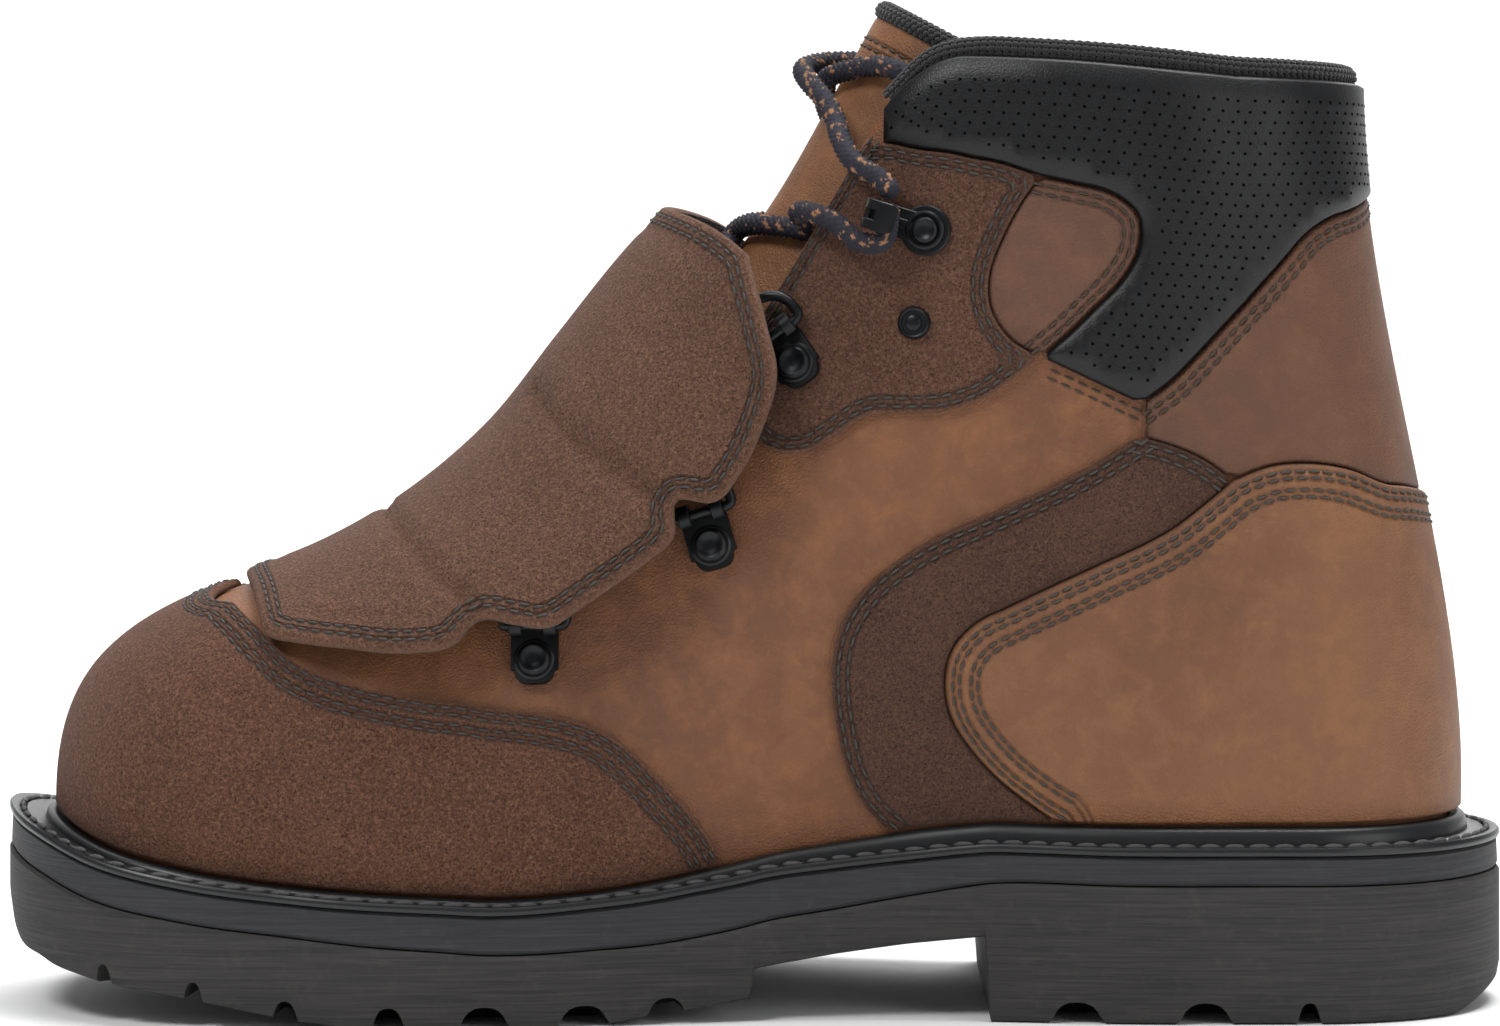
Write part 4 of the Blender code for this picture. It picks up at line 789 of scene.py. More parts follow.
def stitch_tree():
    """Resamples a seam by the stitch pitch and lays one drawn-down stitch on each point, along the line."""
    tree, given = new_tree(
        "stitch_row", Pitch=0.0028, Length=0.0024, Width=0.0006, Height=0.0005, Segments=8, Rings=6,
        Thread=None,
    )
    curve = node(tree, "GeometryNodeMeshToCurve", Mesh=given["Geometry"]).outputs["Curve"]
    points = node(tree, "GeometryNodeResampleCurve", {"mode": "LENGTH"}, Curve=curve, Length=given["Pitch"])
    facets = {"Segments": given["Segments"], "Rings": given["Rings"]}
    ball = node(tree, "GeometryNodeMeshUVSphere", Radius=0.5, **facets)
    size = node(tree, "ShaderNodeCombineXYZ", X=given["Length"], Y=given["Width"], Z=given["Height"])
    shape = node(tree, "GeometryNodeTransform", Geometry=ball.outputs["Mesh"], Scale=size.outputs["Vector"])
    tangent = tree.nodes.new("GeometryNodeInputTangent").outputs["Tangent"]
    ahead = {"axis": "X", "pivot_axis": "Z"}
    turn = node(tree, "FunctionNodeAlignRotationToVector", ahead, Rotation=standing(tree), Vector=tangent)
    return laid(
        tree, points.outputs["Curve"], shape.outputs["Geometry"], given["Thread"],
        Rotation=turn.outputs["Rotation"],
    )


def baked(name, source, tree, **inputs):
    """The plain mesh that a tree makes from an object, with the tree's inputs set by name."""
    modifier = source.modifiers.new(tree.name, "NODES")
    modifier.node_group = tree
    for item in tree.interface.items_tree:
        if item.in_out == "INPUT" and item.name.lower() in inputs:
            modifier[item.identifier] = inputs[item.name.lower()]
    graph = bpy.context.evaluated_depsgraph_get()
    data = bpy.data.meshes.new_from_object(source.evaluated_get(graph), depsgraph=graph)
    bpy.data.objects.remove(source)
    data.name = name
    data.shade_smooth()
    return link_data(name, data)


def upright_points(name, points, uprights, edges=()):
    """Bare points, and lines between them. Each keeps the way out of the leather."""
    data = bpy.data.meshes.new(name)
    data.from_pydata([tuple(p) for p in points], list(edges), [])
    data.attributes.new("upright", "FLOAT_VECTOR", "POINT").data.foreach_set("vector", np.ravel(uprights))
    return link_data(name, data)


def rows_of(name, lines, uprights):
    edges = []
    first = 0
    for line in lines:
        edges += [(first + i, first + i + 1) for i in range(len(line) - 1)]
        first += len(line)
    return upright_points(name, np.vstack(lines), np.vstack(uprights), edges)


def stitched(name, surface, outline, seams, rows, height, material):
    """The stitch rows of one panel, whose face stands this high over the surface."""
    lines, uprights = [], []
    for stretch in seams:
        for row in rows:
            places = inwards(surface, stretch, outline, row)
            if len(places) < 3:
                continue
            face = offset(surface, *places.T, height)
            lines.append(face)
            uprights.append((face - offset(surface, *places.T, height - 0.001)) / 0.001)
    obj = baked(
        name, rows_of(name, lines, uprights), STITCH_TREE, pitch=STITCH_PITCH, length=STITCH_PITCH * 0.82,
        thread=material, **STITCH_SIZE,
    )
    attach(obj, "root")


def leather_piece(name, outline, thickness, seam, rows, material, slot, yarn):
    """A panel of the upper with its stitch rows, in place of the CAD solid of that name."""
    wear(panel(name + "_leather", on_upper, outline, thickness, seam), material, slot, name)
    stitched(name + "_stitches", on_upper, outline, seam, rows, PANEL_LIFT + thickness, yarn)


def roll_height(station):
    toe = np.clip(1 - station / TOE_TURN, 0, 1)
    rear = np.clip((station - 0.40) / 0.20, 0, 1)
    return ROLL_HEIGHT * (0.22 + 0.45 * toe + 0.78 * rear)


def rolled(u, lift):
    """The level at which the upper's face leaves the welt's roll at station u."""
    x, _, ahead, _, station, side = rib(u)
    levels = np.linspace(0, 0.4, 161)
    faces = on_upper(np.full_like(levels, u), levels)
    crest = welt_height(x + ahead * (feather_reach(station, side) + ROLL_WIDTH / 2))
    return float(np.interp(crest + roll_height(station) + lift, faces[:, 2], levels))


def hem(start, end):
    """A stretch along the welt's roll, from one station to another."""
    count = round(abs(end - start) * SPANS[on_upper][2] / EDGE_STEP) + 1
    stations = np.linspace(start, end, max(2, count))
    return np.stack([stations, [rolled(u, HEM_LIFT) for u in stations]], axis=1)


def centre(u, height):
    """The level on the centre line at u where the surface stands this high, in shares of the boot."""
    levels = np.linspace(0, 1, 401)
    return float(np.interp(height * BOOT_HEIGHT, on_upper(np.full_like(levels, u), levels)[:, 2], levels))


def lay_toe_cap():
    side = edge(on_upper, MEDIAL, CAP_EDGE)
    base = hem(side[-1][0], -side[-1][0])
    side[-1][1] = base[0][1]
    over = straight((0.0, centre(0.0, CAP_CREST)), side[0], on_upper)
    top = along(on_upper, np.vstack([over[:-1], side])[::3], 3 * len(side))
    top = np.vstack([top, side[-1:]])
    seam = np.vstack([mirrored(top)[:-1], top])
    outline = outline_of(top, base[1:-1], mirrored(top))
    material = suede("cap_suede", shade(98, 66, 50), shade(150, 108, 86), shade(72, 46, 35), CAP_ROWS)
    leather_piece("toe_cap", outline, CAP_THICKNESS, [seam], CAP_ROWS, material, "suede", CHARCOAL_THREAD)


STITCH_TREE = stitch_tree()
CHARCOAL_THREAD = thread("charcoal_thread", shade(60, 57, 53))
lay_toe_cap()


# Bands, counter and quarters
# Darker brushed leather runs as a band from the waist up to the collar. The oiled counter laps over it
# behind, with four rows of stitches, and the back quarter closes the heel between counter and pad.

BAND_THICKNESS = 0.0014
COUNTER_THICKNESS = 0.0024
QUARTER_THICKNESS = 0.0013
COUNTER_BACK = 0.526
PAD_BACK = 0.842
BAND_FRONT = (
    (0.590, 0.188), (0.565, 0.235), (0.552, 0.315), (0.553, 0.385), (0.572, 0.440), (0.612, 0.487),
    (0.670, 0.528), (0.716, 0.563), (0.752, 0.597),
)
BAND_TOP = ((0.752, 0.597), (0.786, 0.580), (0.813, 0.552))
COUNTER_FRONT = (
    (0.700, 0.200), (0.660, 0.246), (0.632, 0.300), (0.625, 0.345), (0.634, 0.392), (0.660, 0.418),
    (0.716, 0.460), (0.770, 0.500), (0.813, 0.552),
)
COUNTER_TOP = ((0.813, 0.552), (0.838, 0.566), (0.862, 0.568), (0.890, 0.560), (0.910, 0.545))
PAD_LOW = ((0.752, 0.630), (0.770, 0.650), (0.800, 0.697), (0.840, 0.765), (0.866, 0.812))
BAND_ROWS = (0.0013, 0.0033)
COUNTER_ROWS = (0.0016, 0.0030, 0.0054, 0.0068)
QUARTER_ROWS = (0.0021, 0.0038)


def to_the_back(stretch, height):
    """A medial stretch led on to the heel's back at this height."""
    whole = np.vstack([stretch, straight(stretch[-1], (1.0, centre(1.0, height)), on_upper)[1:]])
    return along(on_upper, np.vstack([whole[:-2:5], whole[-2:]]), len(whole))


def across_the_back(stretch):
    """The lateral twin of a medial stretch, run on from the heel's back."""
    return np.stack([2 - stretch[::-1, 0], stretch[::-1, 1]], axis=1)


def lay_band(side, label):
    front = edge(on_upper, side, BAND_FRONT[::-1])
    counter = edge(on_upper, side, COUNTER_FRONT)
    top = edge(on_upper, side, BAND_TOP)
    base = hem(front[-1][0], counter[0][0])
    front[-1][1] = base[0][1]
    counter[0][1] = base[-1][1]
    outline = outline_of(front, base[1:-1], counter, top[::-1])
    leather_piece(
        f"saddle_band_{label}", outline, BAND_THICKNESS, [front, top], BAND_ROWS, BAND_LEATHER,
        "band_leather", CHARCOAL_THREAD,
    )


def lay_counter():
    front = edge(on_upper, MEDIAL, COUNTER_FRONT)
    top = to_the_back(edge(on_upper, MEDIAL, COUNTER_TOP), COUNTER_BACK)
    base = hem(2 - front[0][0], front[0][0])
    front[0][1] = base[0][1]
    medial = np.vstack([front, top[1:]])
    seam = np.vstack([medial, across_the_back(medial)[1:]])
    outline = outline_of(medial, across_the_back(medial), base[1:-1])
    tones = shade(126, 83, 52), shade(152, 104, 64), shade(102, 66, 44)
    hide = oiled_leather("counter_oiled", *tones, COUNTER_ROWS)
    leather_piece(
        "heel_counter", outline, COUNTER_THICKNESS, [seam], COUNTER_ROWS, hide, "oiled_leather",
        CHARCOAL_THREAD,
    )


def lay_quarter():
    low = to_the_back(edge(on_upper, MEDIAL, PAD_LOW), PAD_BACK)
    strip = edge(on_upper, MEDIAL, BAND_TOP)
    counter = to_the_back(edge(on_upper, MEDIAL, COUNTER_TOP), COUNTER_BACK)
    medial = np.vstack([low[::-1], strip, counter[1:]])
    seam = np.vstack([low, across_the_back(low)[1:]])
    outline = outline_of(medial, across_the_back(medial))
    tones = shade(102, 66, 45), shade(126, 84, 56), shade(82, 54, 40)
    hide = oiled_leather("quarter_oiled", *tones, QUARTER_ROWS)
    leather_piece(
        "heel_quarter", outline, QUARTER_THICKNESS, [seam], QUARTER_ROWS, hide, "tab_leather", BROWN_THREAD
    )


BAND_LEATHER = suede("band_brushed", shade(86, 60, 48), shade(116, 86, 70), shade(64, 43, 34), BAND_ROWS)
BROWN_THREAD = thread("brown_thread", shade(58, 48, 38))
for side, label in SIDES:
    lay_band(side, label)
lay_quarter()
lay_counter()


# Eyestays and ankle tabs
# Suede stays carry the hooks and run down under the guard. A smooth brown tab behind each ties it to the
# collar. Both are stitched with two rows all along their free edges.

EYESTAY_THICKNESS = 0.0018
TAB_THICKNESS = 0.0012
TAB_REAR = (
    (0.687, 0.862), (0.722, 0.850), (0.744, 0.836), (0.753, 0.806), (0.744, 0.765), (0.722, 0.728),
    (0.697, 0.690), (0.687, 0.678),
)
STAY_TOP = ((0.582, 0.893), (0.624, 0.886), (0.660, 0.876), (0.687, 0.862))
STAY_REAR = (
    (0.687, 0.862), (0.670, 0.822), (0.658, 0.780), (0.653, 0.745), (0.662, 0.705), (0.687, 0.678),
)
STAY_LOW = (
    (0.687, 0.678), (0.664, 0.650), (0.636, 0.626), (0.600, 0.620), (0.572, 0.616), (0.548, 0.590),
    (0.525, 0.575), (0.507, 0.584), (0.492, 0.605),
)
STAY_ROWS = (0.0014, 0.0031)
TAB_ROWS = (0.0016, 0.0034)


def lay_eyestay(side, label):
    top, rear, low = [edge(on_upper, side, line) for line in (STAY_TOP, STAY_REAR, STAY_LOW)]
    throat = straight((low[-1][0], 0.99), (top[0][0], 0.99), on_upper)
    outline = outline_of(throat, top, rear, low)
    seams = [throat, np.vstack([top, rear[1:], low[1:]])]
    leather_piece(
        f"eyestay_{label}", outline, EYESTAY_THICKNESS, seams, STAY_ROWS, STAY_SUEDE, "suede",
        CHARCOAL_THREAD,
    )


def lay_tab(side, label):
    front, rear = edge(on_upper, side, STAY_REAR), edge(on_upper, side, TAB_REAR)
    leather_piece(
        f"ankle_tab_{label}", outline_of(front, rear[::-1]), TAB_THICKNESS, [rear], TAB_ROWS, TAB_LEATHER,
        "tab_leather", BROWN_THREAD,
    )


STAY_SUEDE = suede("stay_suede", shade(94, 65, 51), shade(140, 104, 84), shade(70, 46, 36), STAY_ROWS)
TAB_LEATHER = oiled_leather("tab_oiled", shade(98, 64, 46), shade(124, 84, 58), shade(72, 46, 34), TAB_ROWS)
for side, label in SIDES:
    lay_eyestay(side, label)
    lay_tab(side, label)


# Collar pad
# A foam-filled collar in black grained synthetic, thick over the ankle and thin at its seams. It is
# punched all over with fine staggered holes, and its nose is held by two rows in the quarter below it.

PAD_THICKNESS = 0.0072
PAD_SEAM = 0.0013
PAD_SHOULDER = 0.013
PAD_RIM = 0.9995
NOSE_ROWS = (0.0013, 0.0030)
HOLE_PITCH = 0.0030
HOLE_ROW = 0.0022
HOLE_RADIUS = 0.00034
HOLE_MARGIN = 0.0030
PAD_NOSE = ((0.687, 0.678), (0.718, 0.655), (0.752, 0.630))


def black_synthetic():
    material, tree, shader, where = new_material("black_synthetic", 0.40, 0.36)
    grain = node(tree, "ShaderNodeTexVoronoi", {"feature": "DISTANCE_TO_EDGE"}, Vector=where, Scale=1300.0)
    fine = ramp(tree, noise(tree, where, 300, 3, 0.6), 0.35, 0.7)
    lines = ramp(tree, grain.outputs["Distance"], 0.0, 0.16)
    surfaced(tree, shader, mixed(tree, fine, shade(11, 11, 13), shade(17, 18, 20)), lines, 0.14, 0.0003)
    return material


def hole_tree():
    """Cups punched at given points, each with a rim as high as the cover is thick, in a near-black material
    that is painted shade inside the holes.
    """
    tree, given = new_tree("holes", Radius=HOLE_RADIUS, Dark=None)
    open_ends = {"fill_type": "NONE"}
    cup = node(
        tree, "GeometryNodeMeshCone", open_ends, Vertices=8, Radius_Top=1.0, Radius_Bottom=0.55, Depth=0.2
    )
    bed = node(tree, "GeometryNodeMeshCircle", {"fill_type": "TRIANGLE_FAN"}, Vertices=8, Radius=0.97)
    both = node(tree, "GeometryNodeJoinGeometry", Geometry=cup.outputs["Mesh"])
    feed(tree, both.inputs["Geometry"], bed.outputs["Mesh"])
    return laid(
        tree, given["Geometry"], both.outputs["Geometry"], given["Dark"], Rotation=standing(tree),
        Scale=given["Radius"],
    )


def hole_places(outline, pad):
    """Staggered rows of holes over the pad, each row spaced along its own length."""
    places = []
    middle = on_upper(np.full(200, 0.8), np.linspace(0.5, 1, 200))
    climbed = np.concatenate([[0], np.cumsum(np.linalg.norm(np.diff(middle, axis=0), axis=1))])
    levels = np.interp(np.arange(0, climbed[-1], HOLE_ROW), climbed, np.linspace(0.5, 1, 200))
    for row, level in enumerate(levels):
        u = np.linspace(0.55, 1.45, 900)
        line = on_upper(u, np.full_like(u, level))
        run = np.concatenate([[0], np.cumsum(np.linalg.norm(np.diff(line, axis=0), axis=1))])
        at = np.arange(HOLE_PITCH * (0.5 if row % 2 else 1), run[-1], HOLE_PITCH)
        places.append(np.stack([np.interp(at, run, u), np.full_like(at, level)], axis=1))
    places = np.vstack(places)
    places = places[inside(places, outline)]
    around = on_upper(*outline.T)
    depth = from_line(on_upper(*places.T), around, np.roll(around, -1, axis=0))
    faces, ways = [], []
    for point in offset(on_upper, *places[depth > HOLE_MARGIN].T, PAD_THICKNESS):
        _, face, way, _ = pad.closest_point_on_mesh(Vector(point))
        faces.append(face + way * 0.00003)
        ways.append(way)
    return faces, ways


def fullness(depth, over):
    """How full a stuffed piece is this far in from its seam, from 0 to 1."""
    return np.sin(np.clip(depth / over, 0, 1) * math.pi / 2)


def lay_collar_pad():
    low = to_the_back(edge(on_upper, MEDIAL, PAD_LOW), PAD_BACK)
    nose, tab, stay = [edge(on_upper, MEDIAL, line) for line in (PAD_NOSE, TAB_REAR, STAY_TOP)]
    medial = np.vstack([[[stay[0][0], PAD_RIM]], stay, tab[1:], nose[1:], low[1:]])
    rim = straight((2 - stay[0][0], PAD_RIM), (stay[0][0], PAD_RIM), on_upper)
    outline = outline_of(medial, across_the_back(medial), rim[1:-1])

    def swell(u, v, depth, here):
        full = PAD_SEAM + (PAD_THICKNESS - PAD_SEAM) * fullness(depth, PAD_SHOULDER) ** 0.8
        return np.full_like(depth, PANEL_LIFT), PANEL_LIFT + full * (0.5 + 0.5 * rounded_over(depth, 0.0008))

    pad = panel("collar_pad_cover", on_upper, outline, PAD_THICKNESS, height=swell, settle=70)
    wear(pad, black_synthetic(), "black_padding", "collar_pad")
    # The holes' near-black insides are painted shade, standing in for the shade down each hole
    dark, _, shader, _ = new_material("hole_painted_shade", 0.9, 0.05)
    shader.inputs["Base Color"].default_value = (0.002, 0.002, 0.002, 1)
    source = upright_points("hole_points", *hole_places(outline, pad))
    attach(baked("collar_perforations", source, hole_tree(), radius=HOLE_RADIUS, dark=dark), "root")


def stitch_under_the_nose(side, label):
    """Two rows on the upper, just below the pad's nose."""
    nose = edge(on_upper, side, ((0.694, 0.672), *PAD_NOSE[1:]))
    below = edge(on_upper, side, [(x, z - 0.06) for x, z in PAD_NOSE])
    outline = np.vstack([nose, below[::-1]])
    stitched(f"nose_stitches_{label}", on_upper, outline, [nose], NOSE_ROWS, 0.0001, BROWN_THREAD)


lay_collar_pad()
for side, label in SIDES:
    stitch_under_the_nose(side, label)


# Collar binding
# A ribbed knit tape rolled over the collar's top edge. Its loops stand in staggered rows round the roll.

LOOP_PITCH = 0.0016
LOOP_WIDTH = 0.0014
LOOP_HEIGHT = 0.0010
LANES = 11
ROLL_RADIUS = 0.0024


def carried(line):
    """Two ways square to a line at each of its points, which go along it without a twist."""
    run = np.gradient(line, axis=0)
    run /= np.linalg.norm(run, axis=1)[:, None]
    side = np.cross(run[0], (0.3, 0.2, 1))
    sides = []
    for way in run:
        side = side - way * (side @ way)
        side = side / np.linalg.norm(side)
        sides.append(side)
    return np.array(sides), np.cross(run, sides)


def knitted(name, points, radius, node_name):
    """A knit roll along points: a soft core with staggered lanes of loops laid round it."""
    length = np.linalg.norm(np.diff(points, axis=0), axis=1).sum()
    line = rounded(points, 2 * round(length / LOOP_PITCH) + 1)
    sides, ups = carried(line)
    lanes, uprights, rings = [], [], []
    for k in range(LANES):
        angle = 2 * math.pi * k / LANES
        out = math.cos(angle) * sides + math.sin(angle) * ups
        lanes.append((line + (radius - LOOP_HEIGHT * 0.4) * out)[k % 2 : len(line) - k % 2])
        uprights.append(out[k % 2 : len(line) - k % 2])
        rings.append(line + (radius - LOOP_HEIGHT * 0.5) * out)
    core = mesh_of_rings(np.array(rings).transpose(1, 0, 2))
    loops = baked(
        name + "_loops", rows_of(name, lanes, uprights), STITCH_TREE, pitch=LOOP_PITCH,
        length=LOOP_PITCH * 1.2, width=LOOP_WIDTH, height=LOOP_HEIGHT, segments=6, rings=4, thread=KNIT_YARN,
    )
    core.from_mesh(loops.data)
    bpy.data.objects.remove(loops)
    wear(link_mesh(name, core), KNIT_YARN, "knit", node_name)


def knit_yarn():
    material, tree, shader, where = new_material("knit_yarn", 0.95)
    shader.inputs["Sheen Weight"].default_value = 0.2
    fuzz = noise(tree, where, 1800, 3, 0.7)
    surfaced(tree, shader, mixed(tree, fuzz, shade(14, 14, 15), shade(40, 40, 40)), fuzz, 0.6, 0.0003)
    return material


def over_rim(surface, rim, below, depth, lift):
    """A line above a rim at this depth under the face, away from the places below it."""
    line = offset(surface, *rim, depth)
    up = line - offset(surface, *below, depth)
    return line + up / np.linalg.norm(up, axis=1)[:, None] * lift


def bind_collar():
    stations = np.concatenate([[0.58, 0.605, 0.635, 0.68, 0.735, 0.785], np.linspace(HEEL_TURN, 1, 6)])
    ring = np.concatenate([stations, 2 - stations[-2::-1]])
    rim, below = (ring, np.ones_like(ring)), (ring, np.full_like(ring, 0.97))
    knitted("collar_knit", over_rim(on_upper, rim, below, -WALL / 2, 0.0014), ROLL_RADIUS, "collar_binding")


KNIT_YARN = knit_yarn()
bind_collar()


# Tongue
# A padded tongue faced in oiled leather stands up behind the laces. Two rows of stitches follow its edges
# and a knit roll finishes its top.

TONGUE_THICKNESS = 0.006
TONGUE_SEAM = 0.0022
TONGUE_SHOULDER = 0.012
TONGUE_ROWS = (0.0052, 0.0070)
TONGUE = table(
    "way along height medial lateral drop",
    (0.00, 0.292, 0.425, 0.198, 0.198, 0.135),
    (0.14, 0.338, 0.495, 0.200, 0.200, 0.155),
    (0.30, 0.390, 0.585, 0.200, 0.200, 0.175),
    (0.45, 0.438, 0.680, 0.200, 0.200, 0.185),
    (0.60, 0.482, 0.765, 0.200, 0.200, 0.185),
    (0.75, 0.520, 0.850, 0.200, 0.200, 0.180),
    (0.88, 0.556, 0.950, 0.204, 0.204, 0.172),
    (1.00, 0.584, 1.030, 0.215, 0.215, 0.165),
)


def arched(rows, a, b, bow):
    """A surface along its middle line: a is the way along, b runs from -1 medial to 1 lateral."""
    a = np.asarray(a, float)
    b = np.asarray(b, float)
    small = 1e-3

    def middle(way):
        return LENGTH * (read(rows, "along", way) - 0.5), BOOT_HEIGHT * read(rows, "height", way)

    x, z = middle(a)
    ahead, rise = np.subtract(middle(np.clip(a + small, 0, 1)), middle(np.clip(a - small, 0, 1)))
    size = np.hypot(ahead, rise)
    angle = bow * b
    half = BALL_WIDTH * np.where(b < 0, read(rows, "medial", a), read(rows, "lateral", a))
    y = spine(x) + half * np.sin(angle) / math.sin(bow)
    hang = BOOT_HEIGHT * read(rows, "drop", a) * (1 - np.cos(angle)) / (1 - math.cos(bow))
    return np.stack([x + hang * rise / size, y, z - hang * ahead / size], axis=-1)


def on_tongue(a, b):
    return arched(TONGUE, a, b, math.radians(86))


def lay_tongue():
    half = ((0.93, 0.97), (0.985, 0.75), (0.995, 0.40))
    crest = along(on_tongue, [*half, (0.995, 0), *[(a, -b) for a, b in half[::-1]]], 50)
    medial = straight((0.93, -0.97), (0.03, -0.97), on_tongue)
    lateral = straight((0.03, 0.97), (0.93, 0.97), on_tongue)
    outline = outline_of(lateral, crest[1:-1], medial, straight((0.03, -0.97), (0.03, 0.97), on_tongue)[1:-1])

    def stuffed(u, v, depth, here):
        full = TONGUE_SEAM + (TONGUE_THICKNESS - TONGUE_SEAM) * fullness(depth, TONGUE_SHOULDER)
        return -full, -0.0006 * (1 - rounded_over(depth, 0.0010))

    seam = np.vstack([lateral, crest[1:-1], medial])
    tones = shade(134, 88, 54), shade(168, 116, 68), shade(100, 66, 44)
    hide = oiled_leather("tongue_oiled", *tones, TONGUE_ROWS)
    tongue = panel("tongue_leather", on_tongue, outline, TONGUE_THICKNESS, [seam], 0.0026, stuffed, backing=1)
    wear(tongue, hide, "oiled_leather", "tongue")
    tongue.data.materials.append(LINING)
    stitched("tongue_stitches", on_tongue, outline, [seam], TONGUE_ROWS, 0, BROWN_THREAD)
    b = np.linspace(-0.72, 0.72, 15)
    rim, below = (np.full_like(b, 0.995), b), (np.full_like(b, 0.96), b)
    line = over_rim(on_tongue, rim, below, -0.0011, 0.0016)
    knitted("tongue_knit", line, ROLL_RADIUS * 0.9, "tongue_binding")


SPANS[on_tongue] = ((0.0, 1.0), (-1.0, 1.0), 0.15, 0.035)
lay_tongue()


# Metatarsal guard
# A padded suede shield hangs over the instep and the laces. Its wavy free edges carry two rows of
# stitches, and two pressed creases on each side let it bend with the foot.

GUARD_THICKNESS = 0.0065
GUARD_TOE = 0.0030
GUARD_SEAM = 0.0022
GUARD_SHOULDER = 0.010
RIDGE_DEPTH = 0.0024
CREASE_WIDTH = 0.0028
GUARD_ROWS = (0.0024, 0.0042)
CREASE_DEPTH = 0.0019
GUARD = table(
    "way along height medial lateral drop",
    (0.00, 0.150, 0.4405, 0.310, 0.330, 0.060),
    (0.12, 0.206, 0.4740, 0.395, 0.430, 0.130),
    (0.25, 0.262, 0.5240, 0.455, 0.540, 0.215),
    (0.40, 0.320, 0.6000, 0.480, 0.570, 0.300),
    (0.55, 0.366, 0.6900, 0.485, 0.550, 0.350),
    (0.70, 0.404, 0.7650, 0.475, 0.510, 0.350),
    (0.85, 0.437, 0.8230, 0.482, 0.482, 0.300),
    (1.00, 0.470, 0.8800, 0.445, 0.440, 0.240),
)
GUARD_EDGE = (
    (0.178, 0.396), (0.196, 0.391), (0.218, 0.388), (0.255, 0.382), (0.290, 0.384), (0.310, 0.396),
    (0.322, 0.418), (0.340, 0.414), (0.354, 0.402), (0.376, 0.418), (0.410, 0.453), (0.440, 0.488),
    (0.450, 0.510), (0.449, 0.538), (0.475, 0.536), (0.494, 0.575), (0.508, 0.625), (0.512, 0.668),
    (0.504, 0.720), (0.494, 0.785),
)
CREASES = (
    ((0.352, 0.640), (0.372, 0.606), (0.400, 0.573), (0.432, 0.544)),
    ((0.250, 0.515), (0.270, 0.486), (0.292, 0.456), (0.314, 0.432)),
)


def on_guard(a, b):
    return arched(GUARD, a, b, math.radians(72))


def lay_guard():
    medial = edge(on_guard, MEDIAL, GUARD_EDGE)
    lateral = medial[::-1] * (1, -1)
    top = along(on_guard, [medial[-1], (0.905, -0.42), (0.862, 0), (0.905, 0.42), lateral[0]], 60)
    base = along(on_guard, [lateral[-1], (0.030, 0.45), (0.016, 0), (0.030, -0.45), medial[0]], 50)
    outline = outline_of(medial, top[1:-1], lateral, base[1:-1])
    lines = [edge(on_guard, MEDIAL, line) for line in CREASES]
    creases = [on_guard(*places.T) for one in lines for places in (one, one * (1, -1))]

    def stuffed(u, v, depth, here):
        full = GUARD_TOE + (GUARD_THICKNESS - GUARD_TOE) * np.clip(u / 0.45, 0, 1)
        low = -(GUARD_SEAM + (full - GUARD_SEAM) * fullness(depth, GUARD_SHOULDER))
        low = low - RIDGE_DEPTH * np.clip(1 - u / 0.14, 0, 1) * np.clip(1.3 - 1.5 * abs(v), 0, 1)
        channel = np.exp(-(((depth - 0.0064) / 0.0016) ** 2)) * 0.0003
        near = np.min([from_line(here, line[:-1], line[1:]) for line in creases], axis=0)
        pressed = CREASE_DEPTH * np.clip(1 - near / CREASE_WIDTH, 0, 1) ** 1.5
        return low, -0.0008 * (1 - rounded_over(depth, 0.0010)) - channel - pressed

    seam = np.vstack([base[len(base) // 2 :], medial[1:], top[1:-1], lateral, base[1 : len(base) // 2 + 1]])
    hide = suede("guard_suede", shade(98, 68, 53), shade(150, 112, 90), shade(72, 48, 37), GUARD_ROWS)
    guard = panel("guard_suede_cover", on_guard, outline, GUARD_THICKNESS, [seam], 0.0018, stuffed, backing=1)
    wear(guard, hide, "suede", "metatarsal_guard")
    guard.data.materials.append(LINING)
    stitched("guard_stitches", on_guard, outline, [seam], GUARD_ROWS, 0, CHARCOAL_THREAD)


SPANS[on_guard] = ((0.0, 1.0), (-1.0, 1.0), 0.12, 0.055)
lay_guard()


# Sole
# A blown rubber midsole and a harder lugged outsole, cemented together and trimmed to one edge. The edge
# keeps fine lengthwise buffing marks. Lugs open at the edge between notches.

MIDSOLE_THICKNESS = 0.0061
LUG_DEPTH = 0.0045
LUG_REACH = 0.016
NOTCHES = (
    (0.075, 0.0032), (0.135, 0.0034), (0.195, 0.0045), (0.262, 0.0055), (0.325, 0.0085),
    (0.390, 0.0090), (0.445, 0.0070), (0.712, 0.0090), (0.795, 0.0090), (0.862, 0.0040),
)

# One half of a notch's outline, in shares of its width and depth: flared below and arched above
ARCH = ((-0.80, -2.0), (-0.66, 0.0), (-0.55, 0.28), (-0.46, 0.60), (-0.34, 0.84), (-0.18, 0.97), (0.0, 1.0))


def buffed_rubber(name, base, pale, rough):
    material, tree, shader, where = new_material(name, rough, 0.35)
    drawn = node(tree, "ShaderNodeMapping", Vector=where, Scale=(14.0, 14.0, 620.0))
    scratch = noise(tree, drawn.outputs["Vector"], 3.0, 5, 0.7)
    dust = noise(tree, where, 240, 4, 0.65)
    color = mixed(tree, ramp(tree, scratch, 0.38, 0.72), base, pale)
    color = mixed(tree, ramp(tree, dust, 0.55, 0.80, 0, 0.35), color, toned(pale, 1.5))
    surfaced(tree, shader, color, sums(tree, "ADD", scratch, sums(tree, "MULTIPLY", dust, 0.4)), 0.5, 0.0004)
    return material


